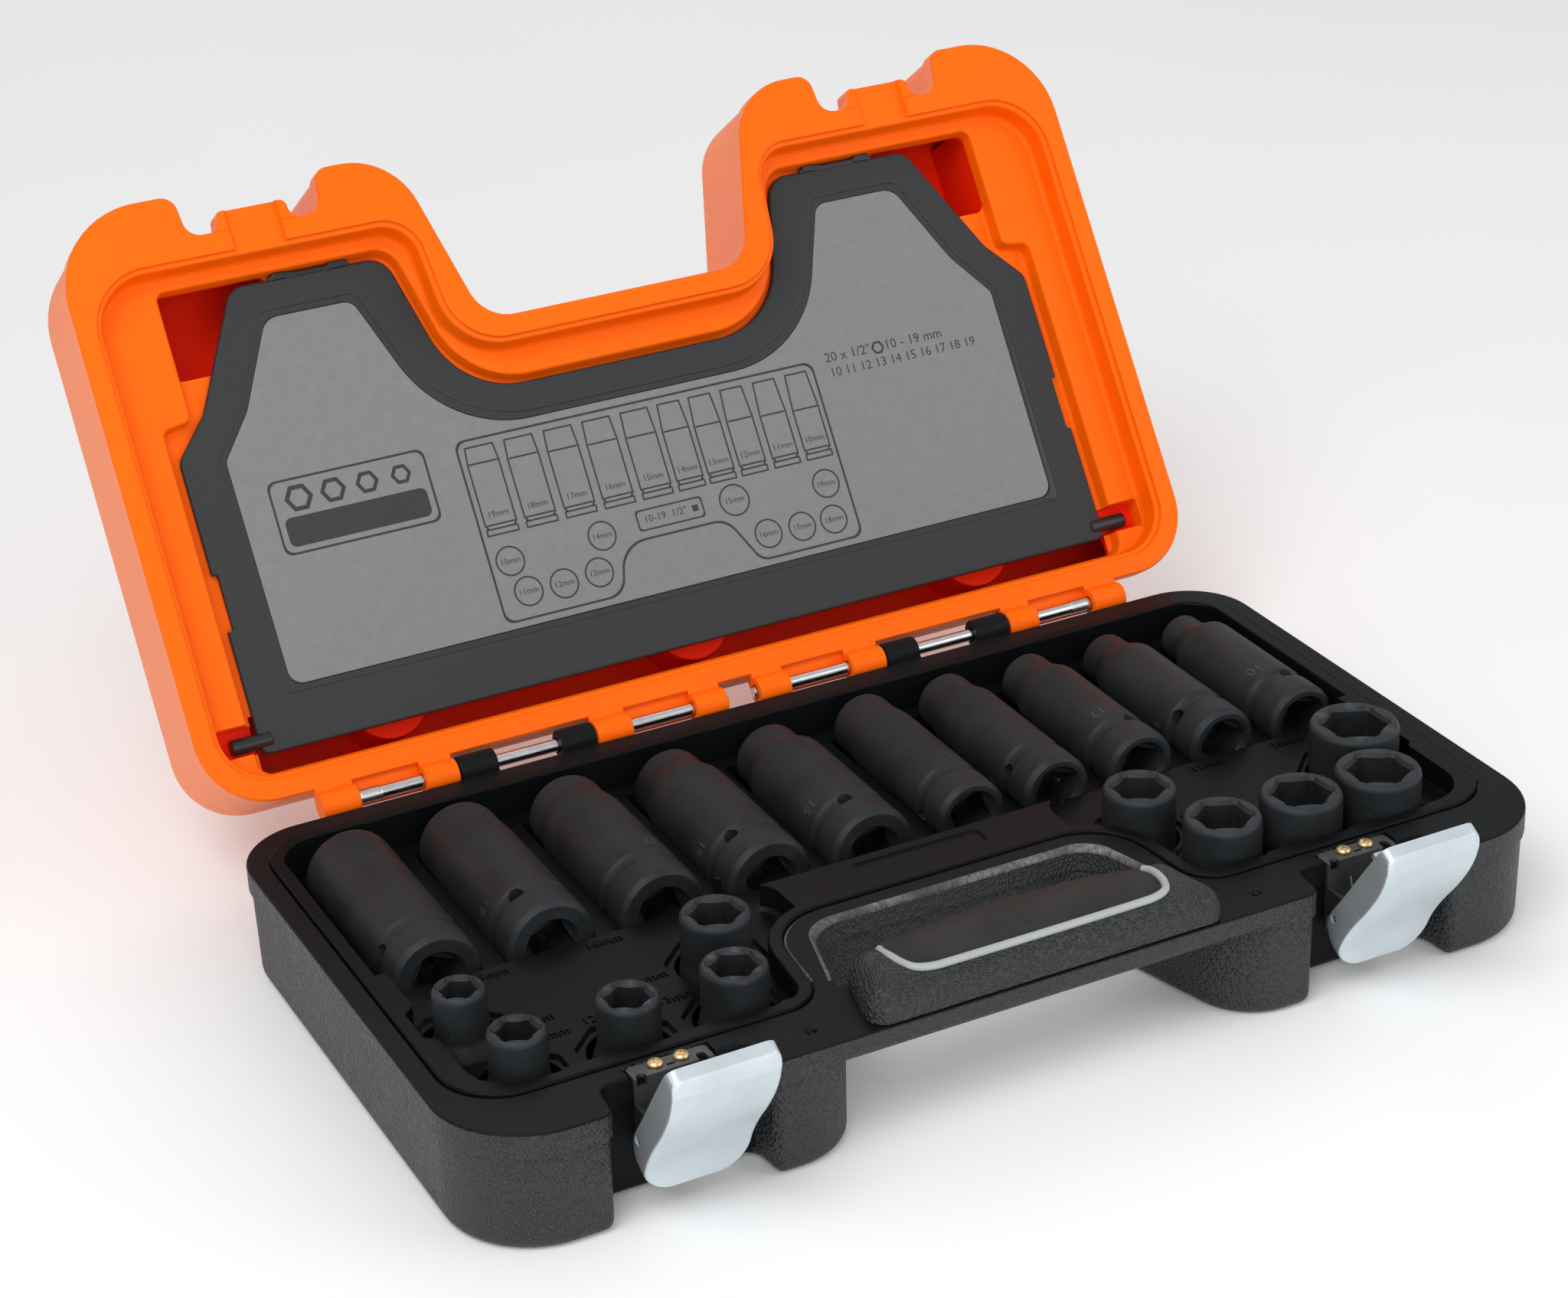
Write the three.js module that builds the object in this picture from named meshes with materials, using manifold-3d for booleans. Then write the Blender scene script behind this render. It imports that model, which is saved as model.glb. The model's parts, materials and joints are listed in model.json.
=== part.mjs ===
// Socket wrench set in a two-part plastic case: a base with a socket tray, a carrying handle and two
// die-cast latches, a lid on two long hinge pins, and a hinged index panel inside the lid.
// Millimetres, +Z up, X along the hinge, front at -Y. The origin is the centre of the base's underside.
import * as THREE from "three";
import { mergeVertices } from "three/addons/utils/BufferGeometryUtils.js";
import Module from "manifold-3d";

const wasm = await Module();
wasm.setup();

// ---------------------------------------------------------------- driving dimensions
const CASE_WIDTH = 380;
const CASE_DEPTH = 206.5;
const BASE_HEIGHT = 41;
const LID_HEIGHT = 48;
const WALL = 3.2;
const GAP = 0.3;
const LID_OPEN_ANGLE = 124;
const HINGE_SETBACK = 6;

const HALF = CASE_WIDTH / 2;
const REAR = -HINGE_SETBACK;
const FRONT = REAR - CASE_DEPTH;
const HINGE_Y = CASE_DEPTH / 2 + HINGE_SETBACK;

const PIN_RADIUS = 2.2;
const PIN_INNER_END = 5;
const PIN_OUTER_END = 150;
const KNUCKLE_RADIUS = 5;
const KNUCKLE_BORE = 2.65;
const LID_KNUCKLES = [[141.7, 155.2], [106.5, 118.6], [42.4, 56], [6.1, 18.4]];
const BASE_KNUCKLES = [[92.5, 106.2], [56.3, 69.4]];

const NOTCH_BACK = -149;
const LATCH_X = 120.5;
const RECESS_HALF = 23.5;
const RECESS_BACK = -197.5;
const LEVER_PIN = { y: -209, z: -14 };
const LEVER_REST_ANGLE = 30;
const LEVER_HALF = 17.3;
const LEVER_BOTTOM = -15;
const LEVER_TOP = 43.3;
const LEVER_PIN_RADIUS = 1.25;
const LEVER_PIN_BORE = 1.6;
const CATCH_HALF = 12.5;
const CATCH_FRONT = -205;
const CATCH_TOP = 10.8;
const NOSE_REACH = 7.5;
const NOSE_THICKNESS = 2.8;
const SCREW_OFFSETS = [-4.2, 4.2];
const SCREW_Y = -194.7;
const FLANGE_REAR = -192.2;
const TRIM_RADIUS = 1.3;
const GRIP_LOW = 2.5;

const DECK_Z = 11.2;
const PANEL_Z = 14.8;
const PANEL_THICKNESS = 2.8;
const PANEL_AXIS = { y: -28, z: 16.2 };
const PANEL_STUB_RADIUS = 2.7;
const LEDGE_Z = 18;

const DRIVE_SQUARE = 12.8;
const DRIVE_DEPTH = 16;
const DEEP_LENGTH = 78;
const DEEP_DRIVE_Y = -104;
const DEEP_TOP = 5;
const SHORT_LENGTH = 38;
const SHORT_BOTTOM = -28.3;
const TRAY_WALL = 1.8;
const TRAY_BOTTOM = -30.6;
const TRAY_LIP_TOP = 0.8;
const TRAY_LIP_INNER = 174.5;
const DECK_HALF = 59;
const DECK_REAR = -120.5;
const ROUND_SIDES = 14;
const SOCKET_SIDES = 14;
const HEX_DEPTH = 12;
const CROSS_HOLE_RADIUS = 2.6;

// Deep sockets lie side by side: x is the axis, spin turns the cross hole about it, in degrees.
const DEEP_SOCKETS = [
  { size: 19, x: -156, spin: 25 },
  { size: 18, x: -117.5, spin: 66 },
  { size: 17, x: -79, spin: -20 },
  { size: 16, x: -41, spin: 60 },
  { size: 15, x: -3.5, spin: 78 },
  { size: 14, x: 33.5, spin: -20 },
  { size: 13, x: 66, spin: 20 },
  { size: 12, x: 99, spin: 112 },
  { size: 11, x: 131.5, spin: 35 },
  { size: 10, x: 163.8, spin: 105 },
];

// Short sockets stand with the hexagon up, five at each front corner.
const SHORT_SOCKETS = [
  { size: 10, x: -163.4, y: -141.5 },
  { size: 11, x: -157.5, y: -171 },
  { size: 12, x: -122, y: -171 },
  { size: 13, x: -87, y: -171 },
  { size: 14, x: -78.5, y: -141 },
  { size: 15, x: 74.5, y: -140.5 },
  { size: 16, x: 87, y: -170 },
  { size: 17, x: 117, y: -170 },
  { size: 18, x: 147, y: -170 },
  { size: 19, x: 159, y: -140 },
];

const deepDriveRadius = (size) => (size >= 15 ? 15 : 12.5);
const shortDriveRadius = (size) => (size >= 18 ? 13.4 : 12.4);
const hexEndRadius = (size) => 0.75 * size + 0.75;
const reliefRadius = (size) => 0.175 * size + 3;
const wellRadius = (size) => Math.max(shortDriveRadius(size) + 0.8, hexEndRadius(size) + 0.5);

// ---------------------------------------------------------------- materials
function material(colour, roughness, metalness) {
  return new THREE.MeshStandardMaterial({ color: colour, roughness, metalness });
}

const blackPlastic = () => material(0x26282b, 0.62, 0);
const trayPlastic = () => material(0x1b1c1e, 0.5, 0);
const orangePlastic = () => material(0xff6a00, 0.45, 0);
const panelPlastic = () => material(0x3e4245, 0.7, 0);
const labelSheet = () => material(0x80807a, 0.55, 0);
const gripRubber = () => material(0x3d3a37, 0.85, 0);
const trimPlastic = () => material(0xafbebe, 0.5, 0);
const phosphatedSteel = () => material(0x38393b, 0.6, 0.8);
const chromedSteel = () => material(0xd5d8dc, 0.2, 1);
const platedSteel = () => material(0x50534f, 0.45, 0.9);
const silverPaint = () => material(0xbcc6ce, 0.4, 0.6);
const yellowZinc = () => material(0xbe965a, 0.35, 0.9);

// ---------------------------------------------------------------- solids
function solid(geometry) {
  const bare = geometry.clone();
  bare.deleteAttribute("normal");
  bare.deleteAttribute("uv");
  const merged = mergeVertices(bare, 1e-4);
  return new wasm.Manifold(
    new wasm.Mesh({
      numProp: 3,
      vertProperties: merged.attributes.position.array,
      triVerts: new Uint32Array(merged.index.array),
    }),
  );
}

function geometryOf(manifold) {
  const mesh = manifold.getMesh();
  const geometry = new THREE.BufferGeometry();
  geometry.setAttribute("position", new THREE.BufferAttribute(mesh.vertProperties, 3));
  geometry.setIndex(new THREE.BufferAttribute(mesh.triVerts, 1));
  geometry.computeVertexNormals();
  return geometry;
}

function join(solids) {
  return solids.reduce((whole, piece) => whole.add(piece));
}

function cut(whole, tools) {
  return tools.reduce((rest, tool) => rest.subtract(tool), whole);
}

function box(x0, x1, y0, y1, z0, z1) {
  const geometry = new THREE.BoxGeometry(x1 - x0, y1 - y0, z1 - z0);
  return solid(geometry.translate((x0 + x1) / 2, (y0 + y1) / 2, (z0 + z1) / 2));
}

// A round bar along x, y or z, between two places on that axis. The other two coordinates are a and b.
function bar(axis, from, to, a, b, radius, sides = 12) {
  const geometry = new THREE.CylinderGeometry(radius, radius, to - from, sides);
  const middle = (from + to) / 2;
  if (axis === "x") geometry.rotateZ(Math.PI / 2).translate(middle, a, b);
  if (axis === "y") geometry.translate(a, middle, b);
  if (axis === "z") geometry.rotateX(Math.PI / 2).translate(a, b, middle);
  return solid(geometry);
}

// An outline is a list of corners [x, y, radius], anticlockwise. Mirroring one half in x gives the whole.
function mirrored(half) {
  const other = half.map(([x, y, r]) => [-x, y, r]).reverse();
  return outline([...half, ...other]);
}

function arcSteps(radius) {
  if (radius > 22) return 5;
  if (radius > 8) return 4;
  if (radius > 4) return 2;
  return radius > 0 ? 1 : 0;
}

function outline(corners) {
  return corners.map(([x, y, r = 0]) => ({ x, y, r, steps: arcSteps(r) }));
}

function leftNormal(from, to) {
  const length = Math.hypot(to.x - from.x, to.y - from.y);
  return { x: -(to.y - from.y) / length, y: (to.x - from.x) / length };
}

// The same outline moved inward by a distance, or outward where the distance is negative.
function inset(corners, distance) {
  return corners.map((corner, i) => {
    const before = leftNormal(corners.at(i - 1), corner);
    const after = leftNormal(corner, corners[(i + 1) % corners.length]);
    const dot = before.x * after.x + before.y * after.y;
    const turn = before.x * after.y - before.y * after.x;
    const scale = distance / (1 + dot);
    return {
      x: corner.x + (before.x + after.x) * scale,
      y: corner.y + (before.y + after.y) * scale,
      r: Math.max(corner.r - Math.sign(turn) * distance, 0.3),
      steps: corner.steps,
    };
  });
}

function loopPoints(corners) {
  const points = [];
  corners.forEach((corner, i) => {
    const before = leftNormal(corners.at(i - 1), corner);
    const after = leftNormal(corner, corners[(i + 1) % corners.length]);
    const dot = before.x * after.x + before.y * after.y;
    const turn = Math.sign(before.x * after.y - before.y * after.x) || 1;
    const reach = (corner.r * turn) / (1 + dot);
    const centre = {
      x: corner.x + (before.x + after.x) * reach,
      y: corner.y + (before.y + after.y) * reach,
    };
    const start = Math.atan2(-before.y * turn, -before.x * turn);
    let sweep = Math.atan2(-after.y * turn, -after.x * turn) - start;
    if (turn > 0 && sweep < 0) sweep += 2 * Math.PI;
    if (turn < 0 && sweep > 0) sweep -= 2 * Math.PI;
    for (let k = 0; k <= corner.steps; k += 1) {
      const angle = start + (sweep * k) / Math.max(corner.steps, 1);
      points.push(
        new THREE.Vector2(
          centre.x + corner.r * Math.cos(angle),
          centre.y + corner.r * Math.sin(angle),
        ),
      );
    }
  });
  return points;
}

// A solid whose outline is inset by a different distance at each height: levels are [z, inset].
function layered(corners, levels) {
  const loops = levels.map(([, distance]) => loopPoints(inset(corners, distance)));
  const count = loops[0].length;
  const positions = [];
  loops.forEach((loop, level) => {
    loop.forEach((point) => positions.push(point.x, point.y, levels[level][0]));
  });
  const index = [];
  for (let level = 0; level + 1 < loops.length; level += 1) {
    for (let i = 0; i < count; i += 1) {
      const low = level * count + i;
      const lowNext = level * count + ((i + 1) % count);
      index.push(low, lowNext, lowNext + count, low, lowNext + count, low + count);
    }
  }
  const top = (loops.length - 1) * count;
  for (const [a, b, c] of THREE.ShapeUtils.triangulateShape(loops[0], [])) index.push(c, b, a);
  for (const [a, b, c] of THREE.ShapeUtils.triangulateShape(loops.at(-1), [])) {
    index.push(top + a, top + b, top + c);
  }
  const geometry = new THREE.BufferGeometry();
  geometry.setAttribute("position", new THREE.Float32BufferAttribute(positions, 3));
  geometry.setIndex(index);
  return solid(geometry);
}

function prism(corners, z0, z1) {
  return layered(corners, [[z0, 0], [z1, 0]]);
}

// A closed profile drawn out between two places: in (y, z) along x, or in (x, z) along y.
function drawn(axis, corners, from, to) {
  const shape = new THREE.Shape(loopPoints(corners));
  const geometry = new THREE.ExtrudeGeometry(shape, { depth: to - from, bevelEnabled: false });
  const x = new THREE.Vector3(1, 0, 0);
  const y = new THREE.Vector3(0, 1, 0);
  const z = new THREE.Vector3(0, 0, 1);
  const turn = new THREE.Matrix4();
  if (axis === "x") turn.makeBasis(y, z, x).setPosition(from, 0, 0);
  if (axis === "y") turn.makeBasis(x, z, y.negate()).setPosition(0, to, 0);
  return solid(geometry.applyMatrix4(turn));
}

// A turned shape standing along z at x, y. Its profile is [radius, height], from the axis to the axis.
function turned(profile, sides, x = 0, y = 0) {
  const points = profile.map(([radius, height]) => new THREE.Vector2(radius, height));
  return solid(new THREE.LatheGeometry(points, sides).rotateX(Math.PI / 2).translate(x, y, 0));
}

// A round wire through a list of points.
function wire(points, radius, steps, sides) {
  const section = new THREE.Shape();
  section.absarc(0, 0, radius, 0, 2 * Math.PI, false);
  const path = new THREE.CatmullRomCurve3(points, false, "centripetal");
  const options = { steps, bevelEnabled: false, extrudePath: path, curveSegments: sides / 2 };
  return solid(new THREE.ExtrudeGeometry(section, options));
}

function place(parent, name, shape, finish) {
  const mesh = new THREE.Mesh(geometryOf(shape), finish);
  mesh.name = name;
  parent.add(mesh);
  return mesh;
}

// ---------------------------------------------------------------- outlines, from the hinge axis
const CASE_OUTLINE = mirrored([
  [50.4, NOTCH_BACK, 14],
  [66.6, FRONT, 24],
  [LATCH_X - RECESS_HALF - 1.5, FRONT, 4],
  [LATCH_X - RECESS_HALF, RECESS_BACK, 3],
  [LATCH_X + RECESS_HALF, RECESS_BACK, 3],
  [LATCH_X + RECESS_HALF + 1.5, FRONT, 4],
  [HALF, FRONT, 31],
  [HALF, REAR, 24],
]);

const OPENING_OUTLINE = mirrored([
  [61.5, -141.5, 20],
  [66, -190, 14],
  [182.8, -190, 21],
  [182.8, -13, 18],
]);

const PANEL_OUTLINE = mirrored([
  [61, -127.5, 30],
  [75, -181, 9],
  [131, -181, 8],
  [152, -140, 14],
  [164.5, -126, 7],
  [164.5, -23, 3],
]);

const LABEL_OUTLINE = mirrored([
  [70, -114.5, 44],
  [90.5, -168, 5],
  [122, -168, 7],
  [137, -138, 18],
  [149, -122.5, 3],
  [148.5, -43.5, 5],
]);

const POCKET_OUTLINE = mirrored([
  [59.5, -129.3, 30],
  [73, -183, 9],
  [157.5, -183, 3],
  [157.5, -138, 2],
  [168, -136.5, 2],
  [168, -16, 4],
]);

const HANDLE_OUTLINE = mirrored([
  [63, FRONT + 0.4, 5],
  [56, -182.5, 7],
]);

const GRIP_OUTLINE = mirrored([
  [46.2, -206, 7],
  [48.4, -182.4, 4],
]);

// The latch lever seen from its left side, latched: [outward, up] from its pin.
const LEVER_PROFILE = [
  [7.8, -15, 0.6],
  [9.6, -14, 0.6],
  [8.2, -6],
  [8.6, 0],
  [9.2, 10],
  [9.9, 22],
  [9.6, 32],
  [8.4, 39.5, 1],
  [6.2, 43, 1],
  [1.5, LEVER_TOP, 0.6],
  [0.2, 30],
  [-1, 14],
  [-2.2, 3, 1],
  [-2.4, -2, 1],
  [0, -6, 1],
  [4, -9.5],
  [6.4, -14.5, 0.6],
];

const LEVER_HOLLOW = [
  [-5, -12],
  [4, -10.5],
  [6.2, -7],
  [6.8, 0],
  [7.4, 10],
  [8.1, 22],
  [7.6, 36],
  [5, 41.3],
  [-5, 41.3],
];

// ---------------------------------------------------------------- hinge
function span(side, inner, outer) {
  return side > 0 ? [inner, outer] : [-outer, -inner];
}

function knuckle(side, [inner, outer], z0, z1) {
  const [from, to] = span(side, inner, outer);
  const barrel = bar("x", from, to, 0, 0, KNUCKLE_RADIUS, ROUND_SIDES);
  return barrel.add(box(from, to, REAR - 3, 0, z0, z1));
}

function hingeBore(side) {
  const [from, to] = span(side, PIN_INNER_END - 1, PIN_OUTER_END + 0.5);
  return bar("x", from, to, 0, 0, KNUCKLE_BORE, 10);
}

function hingePin(side) {
  const [from, to] = span(side, PIN_INNER_END, PIN_OUTER_END);
  return bar("x", from, to, 0, 0, PIN_RADIUS, 10);
}

// ---------------------------------------------------------------- base
function latchPlaces(side) {
  return SCREW_OFFSETS.map((offset) => side * LATCH_X + offset);
}

function caseBase() {
  const shell = layered(CASE_OUTLINE, [
    [-BASE_HEIGHT, 5],
    [-BASE_HEIGHT + 1, 2.9],
    [-BASE_HEIGHT + 4, 1.5],
    [-9.3, 0.9],
    [-8.5, 0],
    [-0.8, 0],
    [0, 0.8],
  ]);
  const handleBar = layered(
    outline([[-84, FRONT], [84, FRONT], [84, -184], [-84, -184]]),
    [[-8, 3], [-7, 1.2], [-4.5, 0], [-0.8, 0], [0, 0.8]],
  );
  const hollow = layered(CASE_OUTLINE, [
    [-BASE_HEIGHT + WALL, WALL + 2.2],
    [-BASE_HEIGHT + WALL + 3, WALL + 0.5],
    [-6, WALL],
  ]);
  const mouth = prism(inset(OPENING_OUTLINE, 2.6), -7, 1);
  const rebate = prism(OPENING_OUTLINE, -2.6, 1);
  const sides = [-1, 1].map((side) => {
    const centre = side * LATCH_X;
    const knuckles = BASE_KNUCKLES.map((place) => knuckle(side, place, -KNUCKLE_RADIUS, -GAP));
    const flangePocket = box(centre - 14, centre + 14, RECESS_BACK - 1, FLANGE_REAR + GAP, -1.7, 1);
    const screwHoles = latchPlaces(side).map((x) => bar("z", -5.6, 0, x, SCREW_Y, 1.7, 8));
    const peg = bar("z", -4, 1, side * 77.7, -202.2, 1.6, 8);
    return { knuckles, cuts: [flangePocket, ...screwHoles, peg, hingeBore(side)] };
  });
  const whole = join([shell, handleBar, ...sides.flatMap((side) => side.knuckles)]);
  return cut(whole, [hollow, mouth, rebate, ...sides.flatMap((side) => side.cuts)]);
}

// ---------------------------------------------------------------- tray
function deepPocket({ size, x }, grow) {
  const radius = deepDriveRadius(size) + 0.5 + grow;
  const z = DEEP_TOP - deepDriveRadius(size);
  const y0 = DEEP_DRIVE_Y - 1.8 - grow;
  const y1 = DEEP_DRIVE_Y + DEEP_LENGTH + 1.5 + grow;
  const trough = bar("y", y0, y1, x, z, radius, ROUND_SIDES);
  return trough.add(box(x - radius, x + radius, y0, y1, z, DEEP_TOP));
}

function shortWell({ size, x, y }, grow) {
  const radius = wellRadius(size) + grow;
  return bar("z", SHORT_BOTTOM - 0.35 - grow, DEEP_TOP, x, y, radius, ROUND_SIDES);
}

// Everything open above the tray's floors. Grown by the sheet's thickness it gives their undersides.
function trayBays(grow) {
  return join([
    box(-184, 184, -109 - grow, -10, -12 - grow, DEEP_TOP),
    box(-DECK_HALF - 1, DECK_HALF + 1, DECK_REAR - grow, -108, -8 - grow, DEEP_TOP),
    box(DECK_HALF - grow, TRAY_LIP_INNER + grow, -192, -108, -8 - grow, DEEP_TOP),
    box(-TRAY_LIP_INNER - grow, -DECK_HALF + grow, -192, -108, -8 - grow, DEEP_TOP),
    ...DEEP_SOCKETS.map((socket) => deepPocket(socket, grow)),
    ...SHORT_SOCKETS.map((socket) => shortWell(socket, grow)),
  ]);
}

function socketTray() {
  const lip = prism(inset(OPENING_OUTLINE, 0.4), -2.2, TRAY_LIP_TOP);
  const body = prism(inset(OPENING_OUTLINE, 3.2), TRAY_BOTTOM, TRAY_LIP_TOP);
  const inside = inset(OPENING_OUTLINE, 3.2 + TRAY_WALL);
  const above = prism(inside, TRAY_BOTTOM + 0.1, DEEP_TOP).intersect(trayBays(0));
  const below = prism(inside, TRAY_BOTTOM - 1, -TRAY_WALL).subtract(trayBays(TRAY_WALL));
  const nameField = box(-23, 23, -133, -124, -0.2, 1);
  return cut(join([lip, body]), [above, below, nameField]);
}

// ---------------------------------------------------------------- handle
function gripPad() {
  return layered(GRIP_OUTLINE, [[GRIP_LOW, 0], [11.4, 0], [12.6, 1.4], [13.6, 3.8], [14.2, 7.5]]);
}

function gripTrim(radius) {
  const half = [
    [36, -206, 12.1],
    [43, -204.4, 12.5],
    [46.6, -198.5, 12.7],
    [47.4, -190.5, 12.6],
    [46, -185.6, 11.6],
  ];
  const other = half.map(([x, y, z]) => [-x, y, z]).reverse();
  const points = [...other, [0, -206.2, 12], ...half];
  return wire(points.map(([x, y, z]) => new THREE.Vector3(x, y, z)), radius, 26, 6);
}

function handleCover() {
  const cover = layered(HANDLE_OUTLINE, [[GAP, 0], [5, 0.3], [9, 1.8], [11.5, 4], [12.8, 8]]);
  const seat = prism(inset(GRIP_OUTLINE, -GAP), GRIP_LOW - GAP, 16);
  return cut(cover, [seat, gripTrim(TRIM_RADIUS + GAP)]);
}

function handleGrip() {
  return cut(gripPad(), [gripTrim(TRIM_RADIUS + GAP)]);
}

// ---------------------------------------------------------------- latches
function latchBracket(side) {
  const centre = side * LATCH_X;
  const flange = box(centre - 13, centre + 13, RECESS_BACK - 1.5, FLANGE_REAR, -1.4, -0.2);
  const plate = box(centre - 13, centre + 13, RECESS_BACK - 1.5, RECESS_BACK - GAP, -24, -0.2);
  const ears = [-1, 1].map((end) => {
    const [from, to] = span(end, 11.8, 13);
    return box(centre + from, centre + to, -212, RECESS_BACK - GAP, -19, -9);
  });
  const pinHole = bar("x", centre - 14, centre + 14, LEVER_PIN.y, LEVER_PIN.z, LEVER_PIN_BORE);
  const screwHoles = latchPlaces(side).map((x) => bar("z", -2, 1, x, SCREW_Y, 1.75, 8));
  return cut(join([flange, plate, ...ears]), [pinHole, ...screwHoles]);
}

function latchScrew(x) {
  const profile = [[0, -5.2], [1.3, -5.2], [1.3, 0.1], [2.4, 0.1], [2.4, 0.7], [1.5, 1.4], [0, 1.4]];
  return turned(profile, 8, x, SCREW_Y);
}

// Modelled about its pin as latched: outward is -Y here.
function latchLever() {
  const side = (profile) => outline(profile.map(([out, up, r]) => [-out, up, r]).reverse());
  const blank = drawn("x", side(LEVER_PROFILE), -LEVER_HALF, LEVER_HALF);
  const face = drawn("y", outline([
    [-LEVER_HALF, LEVER_BOTTOM - 1, 9],
    [LEVER_HALF, LEVER_BOTTOM - 1, 9],
    [LEVER_HALF, LEVER_TOP + 0.5, 2.5],
    [-LEVER_HALF, LEVER_TOP + 0.5, 2.5],
  ]), -20, 10);
  const hollow = drawn("x", side(LEVER_HOLLOW), -LEVER_HALF + 2, LEVER_HALF - 2);
  const pinHole = bar("x", -LEVER_HALF - 1, LEVER_HALF + 1, 0, 0, LEVER_PIN_BORE);
  const noseLow = CATCH_TOP - LEVER_PIN.z + 0.4;
  const nose = box(-10, 10, -8, NOSE_REACH, noseLow, noseLow + NOSE_THICKNESS);
  return cut(blank.intersect(face), [hollow, pinHole]).add(nose);
}

function latchPin(side) {
  const centre = side * LATCH_X;
  return bar("x", centre - 17, centre + 17, LEVER_PIN.y, LEVER_PIN.z, LEVER_PIN_RADIUS);
}

// A torsion spring around the pin: one leg up the bracket's plate, the other reaching behind the lever.
function latchSpring(side) {
  const at = (x, out, up) => {
    return new THREE.Vector3(side * LATCH_X + x, LEVER_PIN.y - out, LEVER_PIN.z + up);
  };
  const turns = 3.25;
  const steps = 26;
  const points = [at(-5.4, -8.6, 8), at(-5.4, -6.5, 3.5)];
  for (let k = 0; k <= steps; k += 1) {
    const angle = Math.PI * 0.9 - (2 * Math.PI * turns * k) / steps;
    points.push(at(-5 + (10 * k) / steps, 2.6 * Math.cos(angle), 2.6 * Math.sin(angle)));
  }
  points.push(at(5.4, 4.2, 5), at(5.4, 4.8, 9));
  return wire(points, 0.4, 38, 4);
}

// ---------------------------------------------------------------- lid
function stubPocket(side, grow, top) {
  const [from, to] = span(side, 165 - grow, 179.5 + grow);
  return box(from, to, PANEL_AXIS.y - 6 - grow, PANEL_AXIS.y + 4 + grow, DECK_Z - 1, top);
}

function lidShell() {
  const shell = layered(CASE_OUTLINE, [
    [GAP, 0.8],
    [GAP + 1, 0],
    [8.5, 0],
    [9.3, 0.9],
    [LID_HEIGHT - 4, 1.5],
    [LID_HEIGHT - 1, 2.9],
    [LID_HEIGHT, 5],
  ]);
  const roof = LID_HEIGHT - WALL;
  const hollow = layered(CASE_OUTLINE, [
    [DECK_Z + 1.8, WALL],
    [roof - 3, WALL + 0.5],
    [roof, WALL + 2.2],
  ]);
  const pocketBlock = prism(inset(POCKET_OUTLINE, -2), DECK_Z, LEDGE_Z + 2.2);
  const sides = [-1, 1].map((side) => lidSide(side));
  const room = cut(hollow, [pocketBlock, ...sides.map((one) => one.stubBlock)]);
  const cuts = [
    prism(OPENING_OUTLINE, -1, 2),
    prism(inset(OPENING_OUTLINE, 1.8), 1, DECK_Z),
    prism(POCKET_OUTLINE, DECK_Z - 1, LEDGE_Z),
    room,
    prism(inset(PANEL_OUTLINE, 5), LEDGE_Z - 1, LEDGE_Z + 4),
    box(-165.6, 165.6, -37, -16.6, LEDGE_Z - 1, LEDGE_Z + 4),
    ...sides.flatMap((one) => one.cuts),
  ];
  const bosses = [-115, 0, 115].map((x) => bar("z", 24, roof + 1, x, -32, 14, 16));
  const blank = join([shell, ...sides.flatMap((one) => one.outside)]);
  return join([cut(blank, cuts), ...bosses, ...sides.flatMap((one) => one.inside)]);
}

// What each half of the lid carries: hinge knuckles with their stop nubs, the catch, the panel's pivot
// pocket and a finger recess at the panel's outer corner.
function lidSide(side) {
  const centre = side * LATCH_X;
  const knuckles = LID_KNUCKLES.map((place) => knuckle(side, place, GAP, KNUCKLE_RADIUS));
  const nubs = LID_KNUCKLES.slice(0, 2).map(([inner, outer]) => {
    const [from, to] = span(side, inner + 2, outer - 2);
    return bar("x", from, to, 4.55, -2.52, 1, 8);
  });
  const covers = [[118, 142.2], [17.8, 43]].map(([inner, outer]) => {
    const [from, to] = span(side, inner, outer);
    return box(from, to, REAR - 2, 3.2, 3.4, KNUCKLE_RADIUS);
  });
  const catchBlock = box(
    centre - CATCH_HALF, centre + CATCH_HALF, CATCH_FRONT, RECESS_BACK + 1, GAP, CATCH_TOP,
  );
  const screwChannel = box(centre - 8.5, centre + 8.5, -205, -189, -1, 2.3);
  const [fingerInner, fingerOuter] = span(side, 122, 157.5);
  const finger = box(fingerInner, fingerOuter, -183, -153, LEDGE_Z - 1, LID_HEIGHT - WALL);
  const [wallInner, wallOuter] = span(side, 120, 159.5);
  const [sideInner, sideOuter] = span(side, 157.5, 159.5);
  return {
    outside: [...knuckles, ...nubs, ...covers, catchBlock],
    inside: [
      box(wallInner, wallOuter, -153, -151, LEDGE_Z + 0.5, LID_HEIGHT - WALL + 0.5),
      box(sideInner, sideOuter, -185, -151.5, LEDGE_Z + 0.5, LID_HEIGHT - WALL + 0.5),
    ],
    stubBlock: stubPocket(side, 2, LEDGE_Z + 3.5),
    cuts: [screwChannel, finger, stubPocket(side, 0, LEDGE_Z + 1.5), hingeBore(side)],
  };
}

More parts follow.
